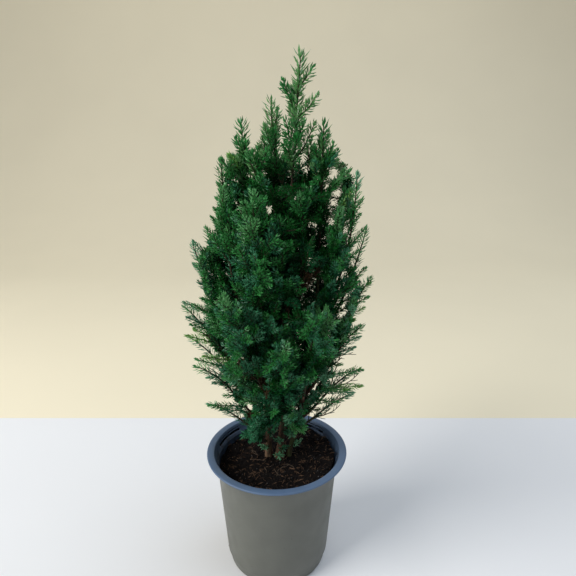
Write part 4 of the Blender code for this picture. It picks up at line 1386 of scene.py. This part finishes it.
class MakeCompost(bpy.types.Operator):
    """Make the compost with its crumbs, bark fibres, grit and fine roots"""

    bl_idname = "cypress.make_compost"
    bl_label = "Compost"

    def execute(self, context):
        look = context.scene.cypress_compost
        self.look = look
        compost = self.body()
        finished(compost, ["compost"])
        for name, density, size, shape, squash, colour, seed in (
            ("compost_crumbs", look.crumbs, 1.0, self.crumb(1.0), 0.75, look.light, 3),
            ("compost_clods", look.crumbs * 0.1, 2.3, self.crumb(0.8), 0.7, look.dark, 5),
            ("compost_fibres", look.fibres, 3.4, self.sliver(), 1.0, look.fibre, 7),
            ("compost_grit", look.grains, 0.85, self.crumb(0.7), 0.9, look.grit, 11),
        ):
            self.scatter(name, compost, density, size * MM, shape, squash, colour, seed)
        self.roots()
        return {"FINISHED"}

    def height(self, x, y):
        radius = math.hypot(x, y)
        lumps = math.sin(310 * x + 1.3) * math.cos(260 * y - 0.4) + 0.6 * math.sin(520 * y + 190 * x)
        slope = COMPOST_SLOPE_X * x + COMPOST_SLOPE_Y * y
        ease = min(1, max(0, (radius - COMPOST_FLAT_RADIUS) / COMPOST_FLAT_RADIUS))
        rough = noise.fractal(Vector((x, y, 0.3)) * 420, 0.75, 2.1, 4)
        return COMPOST_LEVEL + ease * (slope + COMPOST_LUMP * lumps) + self.look.roughness * 0.55 * rough

    def body(self):
        """A closed plug whose top is rough, lying in the pot with a small gap."""
        bm = bmesh.new()
        sides, rings = 144, 44
        side = [
            (BASE_RADIUS - BASE_CHAMFER - WALL - 1.6 * MM, FLOOR + 1.2 * MM),
            (FOOT_TOP_RADIUS - WALL - 2 * GAP, FOOT_HEIGHT + GAP),
        ]
        top = MakePot.wall_radius(COMPOST_LEVEL - 4 * MM) - WALL - 1.2 * GAP
        made = []
        for radius, level in side:
            made.append([bm.verts.new((*self.around(radius, n, sides), level)) for n in range(sides)])
        for step in range(rings):
            radius = top * (1 - step / rings)
            ring = []
            for n in range(sides):
                x, y = self.around(radius, n, sides)
                ring.append(bm.verts.new((x, y, self.height(x, y))))
            made.append(ring)
        for low, high in zip(made, made[1:]):
            for n in range(sides):
                after = (n + 1) % sides
                bm.faces.new((low[n], low[after], high[after], high[n]))
        bm.faces.new(made[0][::-1])
        centre = bm.verts.new((0, 0, self.height(0, 0)))
        for n in range(sides):
            bm.faces.new((made[-1][n], made[-1][(n + 1) % sides], centre))
        finish = Finish("compost", self.look.dark, 0.95, 0.08)
        nodes = finish.nodes
        patch = nodes.ramp(finish.noise(330, 5), 0.42, 0.66)
        finish.set("Base Color", nodes.mix(patch, self.look.dark, self.look.light))
        finish.bump(finish.noise(900, 6), 0.5 * MM, 0.9)
        return mesh_from(bm, "compost_body", [finish.material], math.radians(60))

    @staticmethod
    def around(radius, number, sides):
        angle = math.tau * number / sides
        return radius * math.cos(angle), radius * math.sin(angle)

    def crumb(self, size):
        """An uneven lump of about one unit."""
        bm = bmesh.new()
        bmesh.ops.create_icosphere(bm, subdivisions=1, radius=0.5 * size)
        for vertex in bm.verts:
            vertex.co *= 1 + 0.35 * noise.noise(vertex.co * 3.1)
        return mesh_from(bm, "crumb")

    def sliver(self):
        """A bent strand of fibre of one unit's length."""
        bm = bmesh.new()
        rings = []
        for step in range(5):
            t = step / 4
            width = 0.055 * (0.35 + math.sin(math.pi * min(1, t + 0.08)))
            x, bend = t - 0.5, 0.16 * math.sin(math.pi * t)
            offsets = ((0, width), (0.7 * width, -0.5 * width), (-0.7 * width, -0.5 * width))
            rings.append([bm.verts.new((x, y + bend, z + 0.5 * bend)) for y, z in offsets])
        for low, high in zip(rings, rings[1:]):
            for n in range(3):
                bm.faces.new((low[n], low[(n + 1) % 3], high[(n + 1) % 3], high[n]))
        bm.faces.new(rings[0][::-1])
        bm.faces.new(rings[-1])
        return mesh_from(bm, "sliver")

    def scatter(self, name, compost, density, size, shape, squash, colour, seed):
        """Strews one kind of small body over the compost's top."""
        finish = Finish(name, colour, 0.85, 0.12)
        nodes = finish.nodes
        patch = nodes.ramp(finish.noise(700, 3), 0.35, 0.65)
        finish.set("Base Color", nodes.mix(patch, faded(colour, 0.45), faded(colour, 1.25)))
        finish.bump(finish.noise(2600, 3), 0.1 * MM, 0.7)
        source = new_object(name + "_ground", compost.data.copy())
        values = {
            "Shape": shape, "Density": density, "Size": size, "Squash": squash, "Seed": seed,
            "Material": finish.material,
        }
        piece = grown(name, source, strewn_tree(), values)
        bpy.data.objects.remove(shape, do_unlink=True)
        finished(piece, ["compost"])

    def roots(self):
        """Fine pale roots that run over the compost near the stems."""
        rng = random.Random("roots")
        lines, radii = [], []
        for _ in range(13):
            angle = rng.uniform(0, math.tau)
            start = rng.uniform(7, 20) * MM
            if rng.random() < 0.6:
                angle = math.radians(rng.uniform(215, 290))
            place = Vector((start * math.cos(angle), start * math.sin(angle), 0))
            heading = rng.uniform(0, math.tau)
            line = []
            count = rng.randint(7, 13)
            for step in range(count):
                heading += rng.uniform(-0.5, 0.5)
                place += Vector((math.cos(heading), math.sin(heading), 0)) * 0.9 * MM
                rise = 0.5 * math.sin(math.pi * (step + 0.5) / count)
                line.append(Vector((place.x, place.y, self.height(place.x, place.y) + rise * MM)))
            if max(point.to_2d().length for point in line) < 35 * MM:
                lines.append(line)
                radii += [0.13 * MM] * len(line)
        finish = Finish("compost_roots", self.look.root, 0.8, 0.3)
        nodes = finish.nodes
        patch = nodes.ramp(finish.noise(500, 3), 0.35, 0.65)
        finish.set("Base Color", nodes.mix(patch, faded(self.look.root, 0.4), self.look.root))
        source = polylines("roots_source", lines, {"thickness": radii})
        values = {"Sides": 5, "Material": finish.material}
        finished(grown("compost_roots", source, limb_tree(), values), ["compost"])


def strewn_tree():
    """Small bodies strewn over the faces that look up, each turned and sized at random."""
    tree, nodes, given = geometry_tree(
        "strewn",
        {
            "Shape": "NodeSocketObject", "Density": "NodeSocketFloat", "Size": "NodeSocketFloat",
            "Squash": "NodeSocketFloat", "Seed": "NodeSocketInt", "Material": "NodeSocketMaterial",
        },
    )
    normal = nodes("ShaderNodeSeparateXYZ", {"Vector": nodes("GeometryNodeInputNormal").outputs[0]})
    upward = nodes.math("GREATER_THAN", normal.outputs["Z"], 0.3)
    spots = nodes(
        "GeometryNodeDistributePointsOnFaces",
        {"Mesh": given["Geometry"], "Selection": upward, "Density": given["Density"], "Seed": given["Seed"]},
    )
    spin = nodes(
        "FunctionNodeRandomValue", {"Max": (math.tau, math.tau, math.tau), "Seed": given["Seed"]},
        data_type="FLOAT_VECTOR",
    ).outputs[0]
    tilt = nodes("ShaderNodeVectorMath", operation="MULTIPLY")
    tree.links.new(spin, tilt.inputs[0])
    tilt.inputs[1].default_value = (0.12, 0.12, 1)
    turned = nodes("FunctionNodeEulerToRotation", {"Euler": tilt.outputs[0]}).outputs[0]
    share = nodes("FunctionNodeRandomValue", {"Seed": nodes.math("ADD", given["Seed"], 1)})
    for socket, value in zip([s for s in share.inputs if s.enabled][:2], (0.45, 1.35)):
        socket.default_value = value
    share = [s for s in share.outputs if s.enabled][0]
    size = nodes.math("MULTIPLY", share, given["Size"])
    scale = nodes(
        "ShaderNodeCombineXYZ", {"X": size, "Y": size, "Z": nodes.math("MULTIPLY", size, given["Squash"])}
    ).outputs[0]
    shape = nodes("GeometryNodeObjectInfo", {"Object": given["Shape"]}).outputs["Geometry"]
    strewn = nodes(
        "GeometryNodeInstanceOnPoints",
        {"Points": spots.outputs["Points"], "Instance": shape, "Rotation": turned, "Scale": scale},
    ).outputs[0]
    end_tree(nodes, strewn, given["Material"])
    return tree


def limb_tree():
    """Round limbs along lines, as thick as their points say."""
    tree, nodes, given = geometry_tree("limbs", {"Sides": "NodeSocketInt", "Material": "NodeSocketMaterial"})
    curve = nodes("GeometryNodeMeshToCurve", {"Mesh": given["Geometry"]}).outputs[0]
    ring = nodes("GeometryNodeCurvePrimitiveCircle", {"Resolution": given["Sides"], "Radius": 1.0}).outputs[0]
    thickness = nodes("GeometryNodeInputNamedAttribute", {"Name": "thickness"}).outputs["Attribute"]
    limbs = nodes(
        "GeometryNodeCurveToMesh",
        {"Curve": curve, "Profile Curve": ring, "Scale": thickness, "Fill Caps": True},
    ).outputs[0]
    smooth = nodes("GeometryNodeSetShadeSmooth", {"Geometry": limbs}).outputs[0]
    end_tree(nodes, smooth, given["Material"])
    return tree


def bark_tree():
    """Limbs along lines with the bark's own relief: long ridges and small scales."""
    tree, nodes, given = geometry_tree(
        "bark",
        {
            "Sides": "NodeSocketInt", "Step": "NodeSocketFloat", "Relief": "NodeSocketFloat",
            "Material": "NodeSocketMaterial",
        },
    )
    curve = nodes("GeometryNodeMeshToCurve", {"Mesh": given["Geometry"]}).outputs[0]
    curve = nodes("GeometryNodeResampleCurve", {"Curve": curve, "Length": given["Step"]}, mode="LENGTH")
    ring = nodes("GeometryNodeCurvePrimitiveCircle", {"Resolution": given["Sides"], "Radius": 1.0}).outputs[0]
    thickness = nodes("GeometryNodeInputNamedAttribute", {"Name": "thickness"}).outputs["Attribute"]
    limbs = nodes(
        "GeometryNodeCurveToMesh",
        {"Curve": curve.outputs[0], "Profile Curve": ring, "Scale": thickness, "Fill Caps": True},
    ).outputs[0]
    place = nodes("GeometryNodeInputPosition").outputs[0]
    long = nodes("ShaderNodeVectorMath", operation="MULTIPLY")
    tree.links.new(place, long.inputs[0])
    long.inputs[1].default_value = (1, 1, 0.2)
    ridges = nodes("ShaderNodeTexNoise", {"Vector": long.outputs[0], "Scale": 720, "Detail": 2.0}).outputs["Fac"]
    scales = nodes("ShaderNodeTexNoise", {"Vector": place, "Scale": 900, "Detail": 3.0}).outputs["Fac"]
    height = nodes.math("ADD", nodes.math("MULTIPLY", ridges, 1.3), nodes.math("MULTIPLY", scales, 0.7))
    height = nodes.math("MULTIPLY", nodes.math("SUBTRACT", height, 1.0), given["Relief"])
    height = nodes.math("MULTIPLY", height, thickness)
    offset = nodes("ShaderNodeVectorMath", operation="SCALE")
    tree.links.new(nodes("GeometryNodeInputNormal").outputs[0], offset.inputs[0])
    tree.links.new(height, offset.inputs["Scale"])
    rough = nodes("GeometryNodeSetPosition", {"Geometry": limbs, "Offset": offset.outputs[0]}).outputs[0]
    smooth = nodes("GeometryNodeSetShadeSmooth", {"Geometry": rough}).outputs[0]
    end_tree(nodes, smooth, given["Material"])
    return tree


def needle_tree():
    """Needles in crossing whorls along shoots, splayed out and closing up at the tips."""
    tree, nodes, given = geometry_tree(
        "needles",
        {
            "Needle": "NodeSocketObject", "Width": "NodeSocketFloat", "Splay": "NodeSocketFloat",
            "Scatter": "NodeSocketFloat", "Seed": "NodeSocketInt", "Material": "NodeSocketMaterial",
        },
    )

    def attribute(name):
        return nodes("GeometryNodeInputNamedAttribute", {"Name": name}).outputs["Attribute"]

    def uneven(low, high, seed):
        value = nodes("FunctionNodeRandomValue", {"Seed": nodes.math("ADD", given["Seed"], seed)})
        sockets = [socket for socket in value.inputs if socket.enabled]
        sockets[0].default_value, sockets[1].default_value = low, high
        return [socket for socket in value.outputs if socket.enabled][0]

    def turned(rotation, axis, angle):
        by = nodes("FunctionNodeAxisAngleToRotation", {"Axis": axis, "Angle": angle}).outputs[0]
        made = nodes(
            "FunctionNodeRotateRotation", {"Rotation": rotation, "Rotate By": by}, rotation_space="LOCAL"
        )
        return made.outputs[0]

    curve = nodes("GeometryNodeMeshToCurve", {"Mesh": given["Geometry"]}).outputs[0]
    curve = nodes("GeometryNodeResampleCurve", {"Curve": curve, "Length": attribute("spacing")}, mode="LENGTH")
    spots = nodes("GeometryNodeCurveToPoints", {"Curve": curve.outputs[0]}, mode="EVALUATED")
    # The way of the shoot is kept on each point before the points are doubled
    held = nodes(
        "GeometryNodeStoreNamedAttribute",
        {"Geometry": spots.outputs["Points"], "Name": "way", "Value": spots.outputs["Rotation"]},
        data_type="QUATERNION", domain="POINT",
    ).outputs[0]
    apart = nodes.math("DIVIDE", math.pi, attribute("whorl"))
    turn = nodes.math("MULTIPLY", nodes("GeometryNodeInputIndex").outputs[0], apart)
    held = nodes("GeometryNodeStoreNamedAttribute", {"Geometry": held, "Name": "turn", "Value": turn}).outputs[0]
    whorls = nodes(
        "GeometryNodeDuplicateElements", {"Geometry": held, "Amount": attribute("whorl")}, domain="POINT"
    )
    spin = nodes.math("MULTIPLY", whorls.outputs["Duplicate Index"], nodes.math("MULTIPLY", apart, 2))
    spin = nodes.math("ADD", spin, attribute("turn"))
    spin = nodes.math("ADD", spin, uneven(-0.42, 0.42, 1))
    way = nodes("GeometryNodeInputNamedAttribute", {"Name": "way"}, data_type="QUATERNION")
    way = [socket for socket in way.outputs if socket.enabled][0]
    lean = nodes.math("MULTIPLY", given["Splay"], attribute("open"))
    lean = nodes.math("ADD", lean, nodes.math("MULTIPLY", given["Scatter"], uneven(-1, 1, 2)))
    rotation = turned(turned(way, (0, 0, 1), spin), (1, 0, 0), nodes.math("MULTIPLY", lean, -1))
    long = nodes.math("MULTIPLY", attribute("needle"), uneven(0.8, 1.14, 3))
    wide = nodes.math("MULTIPLY", given["Width"], attribute("broad"))
    scale = nodes("ShaderNodeCombineXYZ", {"X": wide, "Y": wide, "Z": long}).outputs[0]
    shape = nodes("GeometryNodeObjectInfo", {"Object": given["Needle"]}).outputs["Geometry"]
    needles = nodes(
        "GeometryNodeInstanceOnPoints",
        {"Points": whorls.outputs["Geometry"], "Instance": shape, "Rotation": rotation, "Scale": scale},
    ).outputs[0]
    end_tree(nodes, needles, given["Material"])
    return tree


class MakeBark(bpy.types.Operator):
    """Make the stems and boughs with the bark's relief"""

    bl_idname = "cypress.make_bark"
    bl_label = "Stems and boughs"

    def execute(self, context):
        look = context.scene.cypress_bark
        old = self.finish("bark_old", look.brown, look.dark, look)
        young = self.finish("bark_young", look.green, faded(look.brown, 0.5), look)
        brown = ["trunk", "stem_left"]
        self.limbs("stems_brown", [self.stem_line(STEMS[name]) for name in brown], old, look, brown)
        green = ["stem_right"]
        self.limbs("stem_green", [self.stem_line(STEMS[name]) for name in green], young, look, green)
        self.limbs("boughs_bark", self.bough_lines(), old, look, nodes_named("bough_"))
        return {"FINISHED"}

    def limbs(self, name, lines, material, look, replaced):
        points = [[point for point, _ in line] for line in lines]
        radii = [radius for line in lines for _, radius in line]
        source = polylines(name + "_source", points, {"thickness": radii})
        values = {"Sides": look.sides, "Step": look.step, "Relief": look.relief, "Material": material}
        finished(grown(name, source, bark_tree(), values), replaced)

    @staticmethod
    def stem_line(stem):
        """Points and radii of a stem, which starts a little down in the compost."""
        line = through(stem.route, 80)
        foot, top = line[0].z, line[-1].z
        made = [(point, stem_radius(stem, (point.z - foot) / (top - foot))) for point in line]
        return [(line[0] - Vector((0, 0, 1.6 * MM)), made[0][1] * 1.08), *made]

    @staticmethod
    def bough_lines():
        """Points and radii of the boughs, from inside their stem to where their plume starts."""
        found = []
        for name, plume in PLUMES.items():
            if plume.share:
                line, _ = growth().whole[name]
                part = cut_line(line, 0, plume.share + 0.01, 16)
                taper = [BOUGH_FOOT_RADIUS + (BOUGH_TIP_RADIUS - BOUGH_FOOT_RADIUS) * n / 16 for n in range(17)]
                found.append(list(zip(part, taper)))
        return found

    def finish(self, name, colour, dark, look):
        """Bark: long dark cracks, paler flakes and a green film on the young wood."""
        finish = Finish(name, colour, 0.85, 0.3)
        nodes = finish.nodes
        cracks = nodes.ramp(finish.noise(720, 4, (1, 1, 0.2)), 0.4, 0.6)
        flakes = nodes.ramp(finish.noise(420, 4), 0.5, 0.7)
        film = nodes.ramp(finish.noise(140, 3), 0.5, 0.72)
        base = nodes.mix(cracks, dark, colour)
        base = nodes.mix(nodes.math("MULTIPLY", flakes, 0.45), base, faded(colour, 1.9))
        base = nodes.mix(nodes.math("MULTIPLY", film, 0.5), base, look.green)
        finish.set("Base Color", base)
        finish.bump(finish.noise(1500, 5, (1, 1, 0.4)), 0.25 * MM, 0.8)
        return finish.material


class MakeTwigs(bpy.types.Operator):
    """Make the plumes' stems and the twigs that carry the needles"""

    bl_idname = "cypress.make_twigs"
    bl_label = "Twigs"

    def execute(self, context):
        look = context.scene.cypress_shoots
        shoots = [shoot for shoot in growth().shoots if shoot.radii]
        wood = [shoot for shoot in shoots if shoot.order == 0]
        wood = [shoot._replace(line=self.rooted(shoot.line)) for shoot in wood]
        side = [shoot for shoot in shoots if shoot.order == 1 or not shoot.needles and shoot.order == 2]
        fine = [shoot for shoot in shoots if shoot.order > 1 and shoot.needles]
        foliage = nodes_named("foliage_")
        self.twigs("plume_stems", wood, 6, self.finish("twig_wood", look.twig, look.stalk), foliage)
        self.twigs("side_twigs", side, 4, self.finish("twig_side", look.twig, look.stalk, 0.55), foliage)
        self.twigs("fine_stalks", fine, 3, self.finish("twig_fine", look.stalk, look.twig), foliage)
        return {"FINISHED"}

    @staticmethod
    def rooted(line):
        """The line with its foot carried back into the limb that it stands on."""
        back = (line[0] - line[1]).normalized()
        return [line[0] + back * 3.2 * MM, *line]

    def twigs(self, name, shoots, sides, material, replaced):
        lines, radii = [], []
        for shoot in shoots:
            foot, tip = shoot.radii
            last = len(shoot.line) - 1
            lines.append(shoot.line)
            radii += [foot + (tip - foot) * n / last for n in range(last + 1)]
        source = polylines(name + "_source", lines, {"thickness": radii})
        piece = grown(name, source, limb_tree(), {"Sides": sides, "Material": material})
        finished(piece, replaced)

    def finish(self, name, colour, other, share=0.3):
        finish = Finish(name, colour, 0.75, 0.3)
        nodes = finish.nodes
        patch = nodes.ramp(finish.noise(120, 3), 0.62 - share, 0.8 - share * 0.4)
        base = nodes.mix(nodes.math("MULTIPLY", patch, share + 0.2), colour, other)
        grain = nodes.ramp(finish.noise(900, 3), 0.35, 0.65)
        finish.set("Base Color", nodes.mix(nodes.math("MULTIPLY", grain, 0.5), base, faded(colour, 0.45)))
        finish.bump(finish.noise(1800, 3), 0.12 * MM, 0.6)
        return finish.material


class MakeNeedles(bpy.types.Operator):
    """Make the needles, one piece for each colour"""

    bl_idname = "cypress.make_needles"
    bl_label = "Needles"

    MOST = 46000

    def execute(self, context):
        look = context.scene.cypress_needles
        tree = needle_tree()
        for seed, tone in enumerate(TONES):
            shoots = [shoot for shoot in growth().shoots if shoot.needles and shoot.tone == tone]
            if not shoots:
                raise RuntimeError(f"no shoot is {tone}")
            finish = Finish(f"needles_{tone}", getattr(look, tone), 0.38, SHINES.get(tone, 0.55)).material
            for number, batch in enumerate(self.batches(shoots)):
                name = f"needles_{tone}" + (f"_{number + 1}" if number else "")
                self.needles(name, batch, tree, finish, seed * 10 + number, look)
        return {"FINISHED"}

    def batches(self, shoots):
        """Splits the shoots so that no piece has too many needles."""
        made, count = [[]], 0
        for shoot in shoots:
            here = (3 if shoot.order < 2 else 2.3) * (length_of(shoot.line) / shoot.spacing + 1)
            if count + here > self.MOST:
                made.append([])
                count = 0
            made[-1].append(shoot)
            count += here
        return made

    def needles(self, name, shoots, tree, material, seed, look):
        lines = [shoot.line for shoot in shoots]
        values = {"needle": [], "open": [], "spacing": [], "broad": [], "whorl": []}
        for shoot in shoots:
            foot, tip = shoot.needles
            last = len(shoot.line) - 1
            length = length_of(shoot.line)
            for n in range(last + 1):
                left = (1 - n / last) * length
                closed = max(0, 1 - left / (3 * MM)) if shoot.closing else 0
                open_top = slender(shoot.line[n])
                own = (foot + (tip - foot) * n / last) * (1 + TOP_LONGER * open_top)
                values["needle"].append(own * (1 - 0.3 * closed))
                values["open"].append(1 - 0.6 * closed)
                values["spacing"].append(shoot.spacing * (1 + TOP_WIDER_SET * open_top))
                values["broad"].append(1 + TOP_BROADER * open_top)
                values["whorl"].append(3 if shoot.order < 2 or slender(shoot.line[0]) > 0.5 else 2)
        source = polylines(name + "_source", lines, values)
        needle = self.needle()
        piece = grown(
            name, source, tree,
            {
                "Needle": needle, "Width": look.width, "Splay": look.splay, "Scatter": look.scatter,
                "Seed": seed, "Material": material,
            },
        )
        bpy.data.objects.remove(needle, do_unlink=True)
        for layer in list(piece.data.attributes):
            if layer.name in ("way", "turn", *values):
                piece.data.attributes.remove(layer)
        finished(piece, nodes_named("foliage_"))

    @staticmethod
    def needle():
        """A keeled needle of four faces, one unit long and wide, which curves in towards its shoot."""
        bm = bmesh.new()
        places = (0, 0, 0), (-0.5, 0.22, 0.56), (0.5, 0.22, 0.56), (0, -0.26, 1)
        foot, left, right, tip = [bm.verts.new(place) for place in places]
        for corners in ((foot, left, right), (tip, right, left), (foot, tip, left), (foot, right, tip)):
            bm.faces.new(corners)
        return mesh_from(bm, "needle")


class CYPRESS_PT_panel(bpy.types.Panel):
    """Lists the settings and the pieces of the potted cypress"""

    bl_label = "Potted cypress"
    bl_idname = "CYPRESS_PT_panel"
    bl_space_type = "VIEW_3D"
    bl_region_type = "UI"
    bl_category = "Cypress"

    def draw(self, context):
        for name, look in LOOKS.items():
            box = self.layout.box()
            box.label(text=look.__doc__)
            for setting in look.__annotations__:
                box.prop(getattr(context.scene, name), setting)
        for operator in OPERATORS:
            self.layout.operator(operator.bl_idname)


OPERATORS = [MakeStage, MakePot, MakeCompost, MakeBark, MakeTwigs, MakeNeedles]
CLASSES = [*LOOKS.values(), *OPERATORS, CYPRESS_PT_panel]


def register():
    for item in CLASSES:
        bpy.utils.register_class(item)
    for name, look in LOOKS.items():
        setattr(bpy.types.Scene, name, PointerProperty(type=look))


def unregister():
    for name in LOOKS:
        delattr(bpy.types.Scene, name)
    for item in reversed(CLASSES):
        bpy.utils.unregister_class(item)


def main():
    register()
    for operator in OPERATORS:
        group, name = operator.bl_idname.split(".")
        getattr(getattr(bpy.ops, group), name)()
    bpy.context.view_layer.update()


if __name__ == "__main__":
    main()
